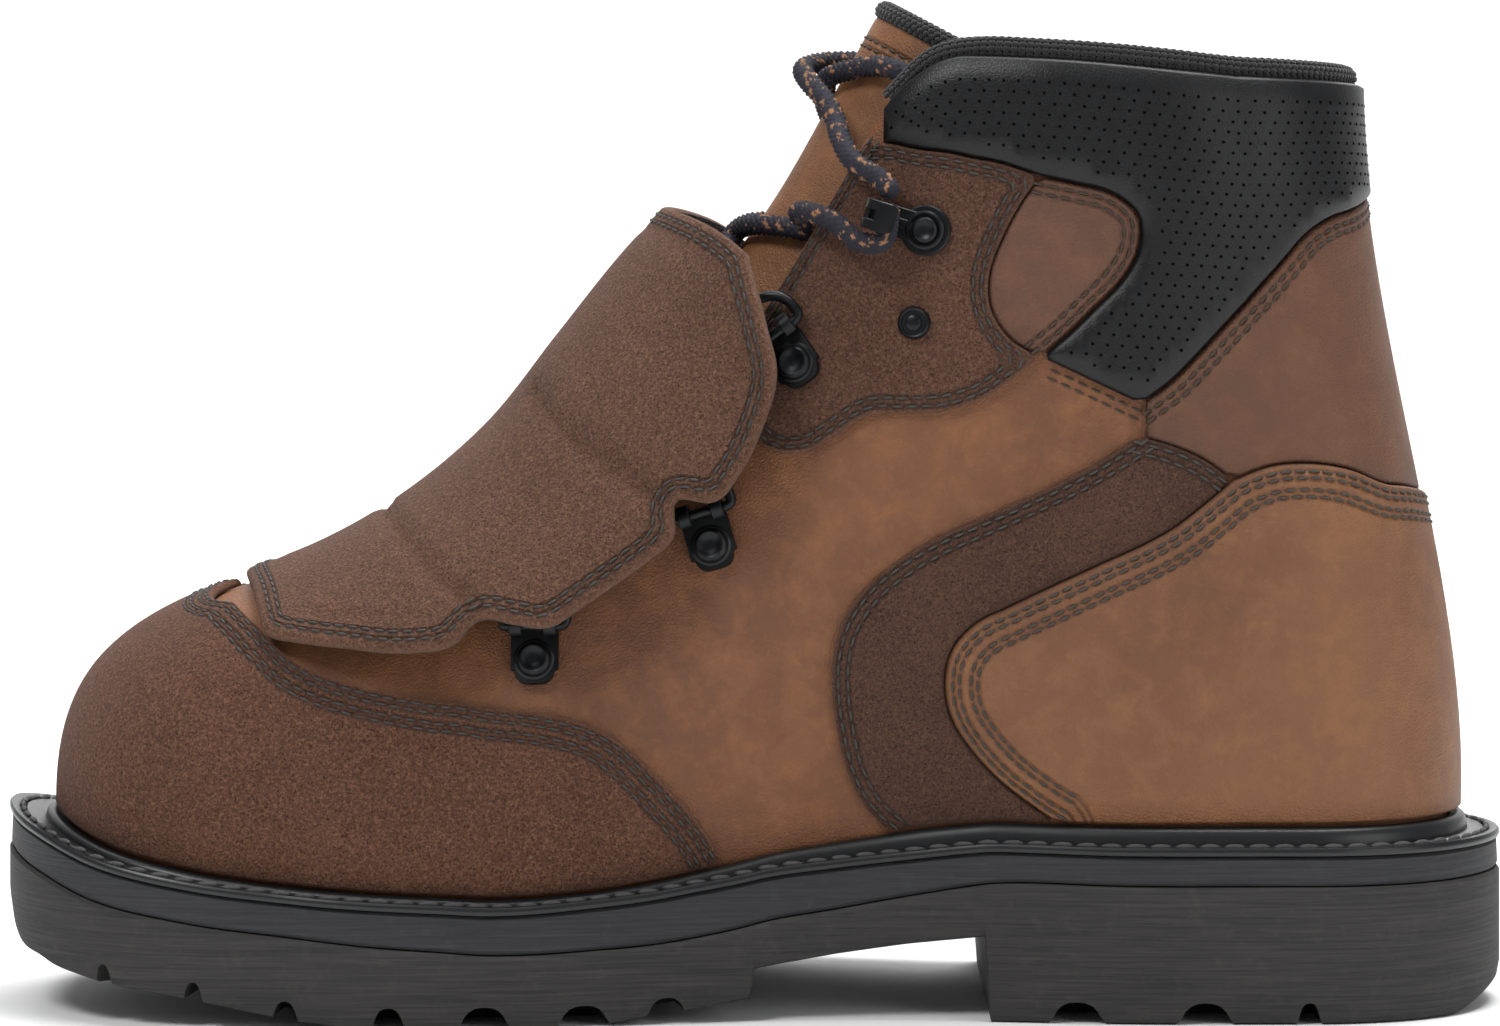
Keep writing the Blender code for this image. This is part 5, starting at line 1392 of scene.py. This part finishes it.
def layer(name, profile, material, slot, node_name, cutters=()):
    """One layer of the sole, from pairs of a set-back from its edge and a height, top first."""
    rings = []
    for back, height in profile:
        def reach(station, side, back=back):
            return sole_reach(station, side) - back

        rings.append(around_the_sole(reach, lambda x, _: height(x), 260))
    obj = link_mesh(name, mesh_of_rings(rings, rungs=True), 30)
    for cutter in cutters:
        cut = obj.modifiers.new("cut", "BOOLEAN")
        cut.operation = "DIFFERENCE"
        cut.object = cutter
        cut.solver = "EXACT"
    if cutters:
        bpy.context.view_layer.update()
        graph = bpy.context.evaluated_depsgraph_get()
        old, obj.data = obj.data, bpy.data.meshes.new_from_object(obj.evaluated_get(graph), depsgraph=graph)
        obj.modifiers.clear()
        bpy.data.meshes.remove(old)
        obj.data.set_sharp_from_angle(angle=math.radians(30))
        obj.data.materials.clear()
    for cutter in cutters:
        bpy.data.objects.remove(cutter)
    wear(obj, material, slot, node_name)


def joint(x):
    return sole_height("top", x) - MIDSOLE_THICKNESS * read(SIDE, "layer", share(x))


def ground(x):
    """The tread's height. Between the ball and the heel's breast it is made of straight runs."""
    along = share(x)
    straight_run = HEEL_HEIGHT * np.interp(along, SIDE["along"], SIDE["ground"])
    return np.where((along > 0.459) & (along < 0.655), straight_run, sole_height("ground", x))


def notch_cutter(at, width, side):
    """A block that opens the tread's edge between two lugs, square to that edge."""
    stations = np.linspace(0, 1, 401)
    x, y, ahead, across, station, sides = rib(stations if side == MEDIAL else -stations)
    reach = sole_reach(station, sides)
    rim_x, rim_y = x + ahead * reach, y + across * reach
    i = int(np.clip(np.argmin(abs(rim_x - LENGTH * (at - 0.5))), 1, len(stations) - 2))
    run = Vector((rim_x[i + 1] - rim_x[i - 1], rim_y[i + 1] - rim_y[i - 1], 0)).normalized()
    into = Vector((x[i] - rim_x[i], y[i] - rim_y[i], 0)).normalized()
    into = (into - run * into.dot(run)).normalized()
    floor = min(ground(rim_x[i] + dx) for dx in (-width, 0, width))
    middle = Vector((rim_x[i], rim_y[i], floor))
    outline = ARCH + tuple((-step, height) for step, height in reversed(ARCH[:-1]))
    rings = []
    rise = Vector((0, 0, LUG_DEPTH))
    for depth in (-0.006, LUG_REACH):
        start = middle + into * depth
        rings.append([start + run * (step * width) + rise * height for step, height in outline])
    return link_mesh("notch", mesh_of_rings(rings))


def lay_sole():
    tread = (
        (0.0006, lambda x: joint(x) - GAP),
        (0.0, lambda x: joint(x) - 0.0011),
        (0.0, lambda x: np.maximum(ground(x) + 0.0012, np.minimum(ground(x) + 0.003, joint(x) - 0.003))),
        (0.0005, lambda x: ground(x) + 0.0005),
        (0.0016, ground),
    )
    middle = (
        (0.0012, lambda x: sole_height("top", x) - GAP),
        (0.0006, lambda x: sole_height("top", x) - 0.0009),
        (0.0004, lambda x: joint(x) + 0.0007),
        (0.0009, joint),
    )
    hard = buffed_rubber("outsole_rubber", shade(40, 39, 39), shade(62, 60, 59), 0.72)
    soft = buffed_rubber("midsole_rubber", shade(36, 37, 39), shade(54, 54, 56), 0.62)
    cutters = [notch_cutter(at, width, side) for side, _ in SIDES for at, width in NOTCHES]
    layer("lugged_outsole", tread, hard, "sole_rubber", "outsole", cutters)
    layer("buffed_midsole", middle, soft, "midsole_rubber", "midsole")


lay_sole()


# Welt
# A black rubber strip, satin from the mould, with a raised roll against the upper. Thick stitches sunk in
# a channel near its outer edge hold it to the midsole all the way round the forepart.

FLANGE = 0.008
WELT_SEAM = 0.0027
WELT_PITCH = 0.0050
WELT_STITCH = {"length": WELT_PITCH * 0.92, "width": 0.0013, "height": 0.0015}
CHANNEL_DEPTH = 0.0005


def satin_rubber():
    material, tree, shader, where = new_material("moulded_rubber", 0.36)
    base = shade(18, 19, 21)
    haze = noise(tree, where, 120, 4, 0.6)
    surfaced(tree, shader, mixed(tree, haze, toned(base, 0.8), toned(base, 1.5)), haze, 0.2, 0.0003)
    return material


def lay_welt():
    def ring(from_rim, from_foot, lift, part_of_roll=0.0, count=220):
        """A ring this far in from the sole's edge, or out from the upper's foot, at this height."""

        def reach(station, side):
            if from_rim is None:
                return feather_reach(station, side) + 2 * GAP + from_foot
            return sole_reach(station, side) - from_rim

        def height(x, station):
            return welt_height(x) + lift + roll_height(station) * part_of_roll

        return around_the_sole(reach, height, count)

    top_and_channel = (
        (0.0002, -WELT_THICKNESS), (0, -WELT_THICKNESS + 0.0003), (0, -0.0005), (0.0004, 0),
        (WELT_SEAM - 0.0009, 0), (WELT_SEAM - 0.0004, -CHANNEL_DEPTH), (WELT_SEAM + 0.0004, -CHANNEL_DEPTH),
        (WELT_SEAM + 0.0009, 0),
    )
    roll = (
        (ROLL_WIDTH + 0.0001, 0.0), (ROLL_WIDTH, 0.35), (ROLL_WIDTH * 0.86, 0.75), (ROLL_WIDTH * 0.62, 0.96),
        (ROLL_WIDTH * 0.35, 1.0), (ROLL_WIDTH * 0.12, 0.9), (0, 0.7), (0, 0.0), (-FLANGE, 0.0),
    )
    rings = [ring(back, None, lift) for back, lift in top_and_channel]
    rings += [ring(None, out, 0, part) for out, part in roll]
    rings.append(ring(None, -FLANGE, -WELT_THICKNESS))
    welt = link_mesh("moulded_welt", mesh_of_rings(rings, closed=True), 50)
    wear(welt, satin_rubber(), "welt_rubber", "welt")
    line = ring(WELT_SEAM, None, -0.0001, count=200)
    line = np.vstack([line, line[:1]])
    source = rows_of("welt_seam", [line], [np.tile((0.0, 0.0, 1.0), (len(line), 1))])
    stitches = baked(
        "welt_stitches", source, STITCH_TREE, pitch=WELT_PITCH, **WELT_STITCH,
        thread=thread("welt_thread", shade(66, 65, 66)),
    )
    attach(stitches, "root")


lay_welt()


# Rings, hooks and studs
# Black-lacquered steel. Each D-ring hangs in a plate rolled over its bar and riveted through the leather.
# Each speed hook is one stamped strip, bent over above its riveted washer. A capped stud sits below it.

EYELET_GAP = GAP + EYESTAY_THICKNESS + GAP
RING_WIRE = 0.0011
RING_WIDTH = 0.0135
RING_DEPTH = 0.0080
RING_LEAN = math.radians(4)
RING_BAR = 0.0068
RING_AXIS = 0.0027
PLATE_WIDTH = 0.0098
PLATE_THICKNESS = 0.0014
RIVET_RADIUS = 0.0037
WASHER_RADIUS = 0.0052
HOOK_WIDTH = 0.0062
HOOK_THICKNESS = 0.0013
STUD_RADIUS = 0.0034

# Where each sits on the upper, in shares of the boot, its lean in degrees and how high it is bedded
RINGS = (
    (0.357, 0.366, 0.0, 0.0006), (0.473, 0.483, 16.0, 0.0006), (0.529, 0.668, 35.0, EYESTAY_THICKNESS + GAP),
)
HOOK = (0.614, 0.806, 73.0)
STUD = (0.606, 0.712)

# Shapes turned round their axis, as radius and height, and the hook's strip, as up and out
STUD_PROFILE = (
    (1, 0), (1, 0.0005), (0.93, 0.0010), (0.84, 0.0013), (0.76, 0.0012), (0.72, 0.0009), (0.50, 0.0009),
    (0.46, 0.0013), (0.30, 0.0016), (0.015, 0.0016),
)
HOOK_WASHER = (
    (WASHER_RADIUS, 0), (WASHER_RADIUS, 0.0008), (WASHER_RADIUS * 0.93, 0.0012), (0.0001, 0.0012),
)
HOOK_LIP = (
    (0.0040, 0.0010), (0.0040, 0.0019), (0.0036, 0.0022), (0.0033, 0.0022), (0.0031, 0.0014),
    (0.0001, 0.0014),
)
HOOK_BASE = ((0.0022, 0.0008), (0.0062, 0.0010), (0.0096, 0.0018), (0.01145, 0.0036), (0.0118, 0.0052))
HOOK_BEND = ((0.0118, 0.0050), (0.0116, 0.0066), (0.0110, 0.0080), (0.0096, 0.00885), (0.0088, 0.0091))
HOOK_FLAP = ((0.0091, 0.0090), (0.0080, 0.0092), (0.0050, 0.0088))
HOOK_RIB = ((0.0022, 0.0014), (0.0062, 0.0016), (0.0096, 0.0018), (0.0112, 0.0036))


def lacquered_steel():
    material, tree, shader, where = new_material("lacquered_steel")
    shader.inputs["Metallic"].default_value = 0.55
    haze = noise(tree, where, 420, 4, 0.65)
    rubbed = ramp(tree, noise(tree, where, 90, 3, 0.6), 0.55, 0.75, 0, 0.6)
    feed(tree, shader.inputs["Roughness"], ramp(tree, haze, 0.3, 0.75, 0.30, 0.46))
    surfaced(tree, shader, mixed(tree, rubbed, shade(22, 23, 25), shade(46, 46, 48)), haze, 0.12, 0.0002)
    return material


def seat(side, place_at, lift, lean=0.0):
    """A frame on the upper's face: its point, the way out, up leaned back to the toe, and across."""
    u, v = locate(on_upper, side, [(LENGTH * (place_at[0] - 0.5), BOOT_HEIGHT * place_at[1])])[0]
    point = Vector(offset(on_upper, u, v, lift))
    out = (point - Vector(offset(on_upper, u, v, 0.0))).normalized()
    across = Vector((1, 0, 0))
    across = (across - out * across.dot(out)).normalized()
    up = out.cross(across)
    up = up if up.z > 0 else -up
    cos, sin = math.cos(math.radians(lean)), math.sin(math.radians(lean))
    return point, out, up * cos - across * sin, across * cos + up * sin


def turned(frame_at, profile, sides=40):
    """A round shape on a frame from pairs of radius and height."""
    point, out, up, across = frame_at
    angles = [2 * math.pi * k / sides for k in range(sides)]
    ways = [across * math.cos(angle) + up * math.sin(angle) for angle in angles]
    rings = [[point + way * radius + out * height for way in ways] for radius, height in profile]
    return mesh_of_rings(rings)


def plate_outline(half, low, high, corner):
    """A plate's outline with rounded lower corners, in across and up."""
    steps = 6
    inner = half * 0.82 - corner
    points = []
    for middle, start in ((inner, -90), (-inner, 180)):
        for k in range(steps + 1):
            angle = math.radians(start + 90 * k / steps)
            points.append((middle + corner * math.cos(angle), low + corner + corner * math.sin(angle)))
        if start == -90:
            points += [(half, -0.002), (half, high), (-half, high), (-half, -0.002)]
    return points


def strip(frame_at, path, width_of, thickness):
    """A bent strip with slightly rounded edges, along points in up and out."""
    point, out, up, across = frame_at
    line = rounded(path, 40)
    corner = 0.00018
    rings = []
    for i, (b, c) in enumerate(line):
        before, after = line[max(i - 1, 0)], line[min(i + 1, len(line) - 1)]
        run = (up * (after[0] - before[0]) + out * (after[1] - before[1])).normalized()
        thick = run.cross(across).normalized()
        spot = point + up * b + out * c
        wide, half = width_of(i / (len(line) - 1)) / 2, thickness / 2
        corners = [
            (-wide + corner, -half), (wide - corner, -half), (wide, -half + corner), (wide, half - corner),
            (wide - corner, half), (-wide + corner, half), (-wide, half - corner), (-wide, -half + corner),
        ]
        rings.append([spot + across * a + thick * t for a, t in corners])
    return mesh_of_rings(rings)


def gathered(name, meshes, node_name):
    """Several closed steel shapes as one piece."""
    whole = bmesh.new()
    for mesh in meshes:
        data = bpy.data.meshes.new("part")
        mesh.to_mesh(data)
        mesh.free()
        whole.from_mesh(data)
        bpy.data.meshes.remove(data)
    wear(link_mesh(name, whole, 32), STEEL, "black_metal", node_name)


def rivet(radius, base, top):
    """The profile of a domed rivet with a turned-in rim and a shallow dish in its crown."""
    high = top - base
    return (
        (radius, base), (radius, base + high * 0.30), (radius * 0.96, base + high * 0.62),
        (radius * 0.86, base + high * 0.88), (radius * 0.74, top), (radius * 0.64, top - high * 0.02),
        (radius * 0.50, top - high * 0.20), (radius * 0.20, top - high * 0.26), (0.00005, top - high * 0.26),
    )


def fix_ring(side, number, label):
    *place_at, lean, under = RINGS[number]
    at = seat(side, place_at, GAP + under, lean)
    point, out, up, across = at
    outline = plate_outline(PLATE_WIDTH / 2, -0.0050, RING_BAR - 0.0006, 0.0026)
    levels = ((0.0, 1.0), (PLATE_THICKNESS - 0.0003, 1.0), (PLATE_THICKNESS, 0.97))
    plate = []
    for height, size in levels:
        plate.append([point + across * (a * size) + up * (b * size) + out * height for a, b in outline])
    rim, top = RIVET_RADIUS * 1.14, PLATE_THICKNESS + 0.0005
    washer = turned(at, [(rim, 0.0008), (rim, top - 0.0003), (RIVET_RADIUS * 1.02, top), (0.0001, top)])
    shapes = [mesh_of_rings(plate), washer, turned(at, rivet(RIVET_RADIUS, 0.0006, PLATE_THICKNESS + 0.0015))]
    bend = [(RING_BAR - 0.0022, 0.0007)]
    for k in range(25):
        angle = math.radians(-100 + 255 * k / 24)
        bend.append((RING_BAR + 0.00205 * math.cos(angle), RING_AXIS + 0.00205 * math.sin(angle)))
    for beside in (-0.36, 0.36):
        shifted = (point + across * (beside * PLATE_WIDTH), out, up, across)
        shapes.append(strip(shifted, bend, lambda way: PLATE_WIDTH * 0.26, 0.0009))
    gathered(f"ring_plate_{label}_steel", shapes, f"ring_plate_{label}")
    middle = point + up * RING_BAR + out * RING_AXIS
    tilt = up * math.cos(RING_LEAN) + out * math.sin(RING_LEAN)
    reach = RING_WIDTH / 2
    flat = [(-reach * 0.9, 0.0), (0.0, 0.0), (reach * 0.9, 0.0)]
    for t in np.linspace(0.10, math.pi - 0.10, 15):
        flat.append((reach * math.cos(t), RING_DEPTH * (0.22 + 0.78 * math.sin(t) ** 0.8)))
    flat = rounded(flat + flat[:1], 90)[:-1]
    line = [middle + across * a + tilt * b for a, b in flat]
    normal = across.cross(tilt).normalized()
    rings = []
    for i, spot in enumerate(line):
        run = (line[(i + 1) % len(line)] - line[i - 1]).normalized()
        beside = run.cross(normal).normalized()
        angles = np.linspace(0, 2 * math.pi, 16, endpoint=False)
        rings.append([spot + RING_WIRE * (math.cos(a) * normal + math.sin(a) * beside) for a in angles])
    wire = link_mesh(f"ring_wire_{label}_steel", mesh_of_rings(rings, closed=True))
    wear(wire, STEEL, "black_metal", f"ring_wire_{label}")


def fix_hook(side, label):
    """A lace hook: its flap is bent back over its base, with a slot between the bend's two legs."""
    at = seat(side, HOOK[:2], EYELET_GAP, HOOK[2])
    point, out, up, across = at
    thick = HOOK_THICKNESS * 0.85
    shapes = [
        turned(at, HOOK_WASHER, 48),
        turned(at, HOOK_LIP),
        turned(at, rivet(0.0029, 0.0010, 0.0025)),
        strip(at, HOOK_RIB, lambda way: HOOK_WIDTH * 0.30, HOOK_THICKNESS * 0.6),
        strip(at, HOOK_BASE, lambda way: HOOK_WIDTH, thick),
        strip(at, HOOK_FLAP, lambda way: HOOK_WIDTH * (1 - 0.25 * max(0, way - 0.7) / 0.3), thick),
    ]
    for beside in (-1, 1):
        leg = (point + across * beside * HOOK_WIDTH * 0.33, out, up, across)
        shapes.append(strip(leg, HOOK_BEND, lambda way: HOOK_WIDTH * 0.34, thick))
    gathered(f"lace_hook_{label}_steel", shapes, f"lace_hook_{label}")
    profile = [(STUD_RADIUS * part, height) for part, height in STUD_PROFILE]
    cap = turned(seat(side, STUD, EYELET_GAP), profile)
    gathered(f"stud_{label}_steel", [cap], f"stud_{label}")


STEEL = lacquered_steel()
for side, label in SIDES:
    fix_hook(side, label)
    for number in range(len(RINGS)):
        fix_ring(side, number, f"{label}_{number + 1}")


# Laces
# A round braided lace in navy-black with tan flecks. It crosses over the tongue under the guard, rises
# round the hooks, and each free end runs over the tongue and in behind the collar's far edge.

LACE_RADIUS = 0.0021
LACE_LIFT = 0.0007
BRAID_PITCH = 0.0034
BRAID_STEP = 0.00036
BRAID_SIDES = 32
CARRIERS = 16
FLECK_SHARE = 0.09
WEAVE = (
    (0.10, 0.58), (0.17, 0.0), (0.24, -0.58), (0.31, 0.0), (0.38, 0.58), (0.45, 0.0), (0.52, -0.58),
    (0.645, 0.0), (0.722, 0.54),
)
TO_HOOK = ((0.528, 0.826, 0.0262), (0.552, 0.816, 0.0350))
TO_CREST = ((0.576, 0.8605, 0.0355), (0.564, 0.8800, 0.0328), (0.557, 0.8990, 0.0272))
FREE_RUNS = {
    MEDIAL: (
        (0.5530, 0.9230, 0.0190), (0.5440, 0.9455, 0.0125), (0.5335, 0.9640, 0.0050),
        (0.5395, 0.9760, -0.0030), (0.5800, 0.9780, -0.0140), (0.5960, 0.9725, -0.0210),
        (0.6170, 0.9500, -0.0232),
    ),
    LATERAL: (
        (0.5520, 0.9180, 0.0190), (0.5480, 0.9360, 0.0125), (0.5487, 0.9540, 0.0030),
        (0.5526, 0.9645, -0.0050), (0.5780, 0.9740, -0.0140), (0.5946, 0.9700, -0.0210),
        (0.6170, 0.9500, -0.0232),
    ),
}


def braid_material():
    """Navy-black yarns with tan flecks, told apart by the strand that a face belongs to."""
    material, tree, shader, where = new_material("braided_cord", 0.85)
    fleck = node(tree, "ShaderNodeAttribute", {"attribute_name": "fleck"}).outputs["Fac"]
    fuzz = noise(tree, where, 2200, 3, 0.7)
    navy = mixed(tree, fuzz, shade(15, 14, 22), shade(44, 42, 56))
    tan = mixed(tree, fuzz, shade(120, 80, 52), shade(176, 128, 90))
    surfaced(tree, shader, mixed(tree, fleck, navy, tan), fuzz, 0.5, 0.0003)
    return material


def braid(name, path, radius, seed):
    """A braided round cord along points. Its skin is a lattice of yarns that cross in two directions."""
    drawn = random.Random(seed)
    path = np.array([tuple(p) for p in path])
    length = np.linalg.norm(np.diff(path, axis=0), axis=1).sum()
    line = rounded(path, int(length / BRAID_STEP))
    beside, ups = carried(line)
    tans = {}
    flecks, rings = [], []
    for i, point in enumerate(line):
        turn = i * BRAID_STEP / BRAID_PITCH * 2.1
        end = min(i, len(line) - 1 - i) * BRAID_STEP / (radius * 0.6)
        width = radius * math.sqrt(1 - max(0, 1 - end) ** 2 * 0.8)
        ring = []
        for k in range(BRAID_SIDES):
            yarn = k / BRAID_SIDES * CARRIERS / 2
            one, other = (yarn + turn) % 1, (yarn - turn) % 1
            bump = math.sin(math.pi * one) * math.sin(math.pi * other)
            over = abs(one - 0.5) < abs(other - 0.5)
            key = (int(yarn + turn) % (CARRIERS // 2), over, int(turn - yarn))
            if key not in tans:
                tans[key] = 1.0 if drawn.random() < FLECK_SHARE else 0.0
            flecks.append(tans[key])
            angle = 2 * math.pi * k / BRAID_SIDES
            way = math.cos(angle) * beside[i] + math.sin(angle) * ups[i]
            ring.append(point + (width - 0.00034 + 0.00062 * bump) * way)
        rings.append(ring)
    cord = link_mesh(name, mesh_of_rings(rings))
    keep(cord, "fleck", flecks)
    return cord


def place(along, height, across, side):
    x = LENGTH * (along - 0.5)
    return Vector((x, float(spine(x)) + side * across, BOOT_HEIGHT * height))


def smoothed(points, step):
    """A smooth curve through these points, with one point each step."""
    points = np.array([tuple(p) for p in points])
    length = np.linalg.norm(np.diff(points, axis=0), axis=1).sum()
    return [Vector(p) for p in rounded(points, max(3, round(length / step)))]


def hook_run(side):
    """The lace's way through the hook: its middle and its heading."""
    point, out, up, across = seat(side, HOOK[:2], EYELET_GAP, HOOK[2])
    return point + up * 0.0076 + out * 0.0056, across


def strand(side):
    """One lace from the lowest crossing to its hook."""
    over = along(on_tongue, WEAVE, 38)
    points = [Vector(offset(on_tongue, a, side * b, LACE_RADIUS + LACE_LIFT)) for a, b in over]
    middle, heading = hook_run(side)
    last = [place(*spot, side) for spot in TO_HOOK] + [middle - heading * 0.0068, middle + heading * 0.0030]
    return points + smoothed(points[-1:] + last, 0.006)[1:]


def free_end(side):
    middle, heading = hook_run(side)
    route = [middle + heading * 0.0050, middle + heading * 0.0080]
    return smoothed(route + [place(*spot, side) for spot in TO_CREST + FREE_RUNS[side]], 0.0072)


CORD = braid_material()
both = bmesh.new()
for side, label in SIDES:
    part = braid(f"strand_{label}", strand(side), LACE_RADIUS * 0.98, 11 + side)
    both.from_mesh(part.data)
    bpy.data.objects.remove(part)
wear(link_mesh("lace_crossings", both), CORD, "lace_cord", "lace_bars")
for side, label in SIDES:
    route = free_end(side)
    end = braid(f"lace_free_{label}", route, LACE_RADIUS, 21 + side)
    wear(end, CORD, "lace_cord", f"lace_end_{label}")


# Room
# A plain pale floor under three soft lamps, seen level with the topline from the boot's medial side, as
# in the photograph, where the lens was 1.3 m from the boot's middle.

PHOTO_WIDTH = 1500
METRES_PER_PIXEL = 0.0002097
CAMERA_DISTANCE = 1.3
SPINE_Y = -0.010
SWEEP_START = 1.6
SWEEP_RADIUS = 1.2


def lay_floor():
    """A sheet of paper that sweeps up behind the boot, out of the camera's reach."""
    outline = [(-4.0, 0.0), (SWEEP_START, 0.0)]
    for k in range(1, 13):
        angle = math.pi / 2 * k / 12
        outline.append((SWEEP_START + SWEEP_RADIUS * math.sin(angle), SWEEP_RADIUS * (1 - math.cos(angle))))
    outline.append((SWEEP_START + SWEEP_RADIUS, 4.0))
    data = bpy.data.meshes.new("floor")
    points = [(x, y, z) for y, z in outline for x in (-5, 5)]
    data.from_pydata(points, [], [(2 * i, 2 * i + 1, 2 * i + 3, 2 * i + 2) for i in range(len(outline) - 1)])
    data.shade_smooth()
    paper, _, shader, _ = new_material("floor_paper", 0.9)
    shader.inputs["Base Color"].default_value = (0.90, 0.90, 0.90, 1)
    data.materials.append(paper)
    link_data("floor", data)


def hang_lamp(name, place, size, power, target=(0, 0, 0.09)):
    lamp = bpy.data.lights.new(name, "AREA")
    lamp.shape = "DISK"
    lamp.size = size
    lamp.energy = power
    holder = link_data(name, lamp)
    holder.location = place
    holder.rotation_euler = (Vector(target) - Vector(place)).to_track_quat("-Z", "Y").to_euler()


def set_camera():
    lens = bpy.data.cameras.new("camera")
    lens.angle = 2 * math.atan(PHOTO_WIDTH * METRES_PER_PIXEL / 2 / CAMERA_DISTANCE)
    lens.shift_x = -4 / PHOTO_WIDTH
    lens.shift_y = -472 / PHOTO_WIDTH
    lens.clip_start = 0.05
    camera = link_data("camera", lens)
    camera.location = (0, SPINE_Y - CAMERA_DISTANCE, 0.200)
    camera.rotation_euler = (math.pi / 2, 0, 0)
    bpy.context.scene.camera = camera


lay_floor()
hang_lamp("key_lamp", (-0.7, -0.9, 1.35), 0.6, 14)
hang_lamp("top_lamp", (0.35, 0.0, 1.5), 0.8, 15)
hang_lamp("fill_lamp", (1.2, -1.1, 0.6), 1.0, 5)
hang_lamp("rear_lamp", (0.4, 1.2, 1.1), 1.0, 8)
hang_lamp("backdrop_lamp", (0, 0.9, 2.2), 2.5, 60, target=(0, 2.8, 0.5))
set_camera()
sky = bpy.data.worlds.new("studio")
sky.use_nodes = True
sky.node_tree.nodes["Background"].inputs["Color"].default_value = (0.92, 0.93, 0.95, 1)
sky.node_tree.nodes["Background"].inputs["Strength"].default_value = 0.24
bpy.context.scene.world = sky
bpy.context.scene.view_settings.view_transform = "Standard"
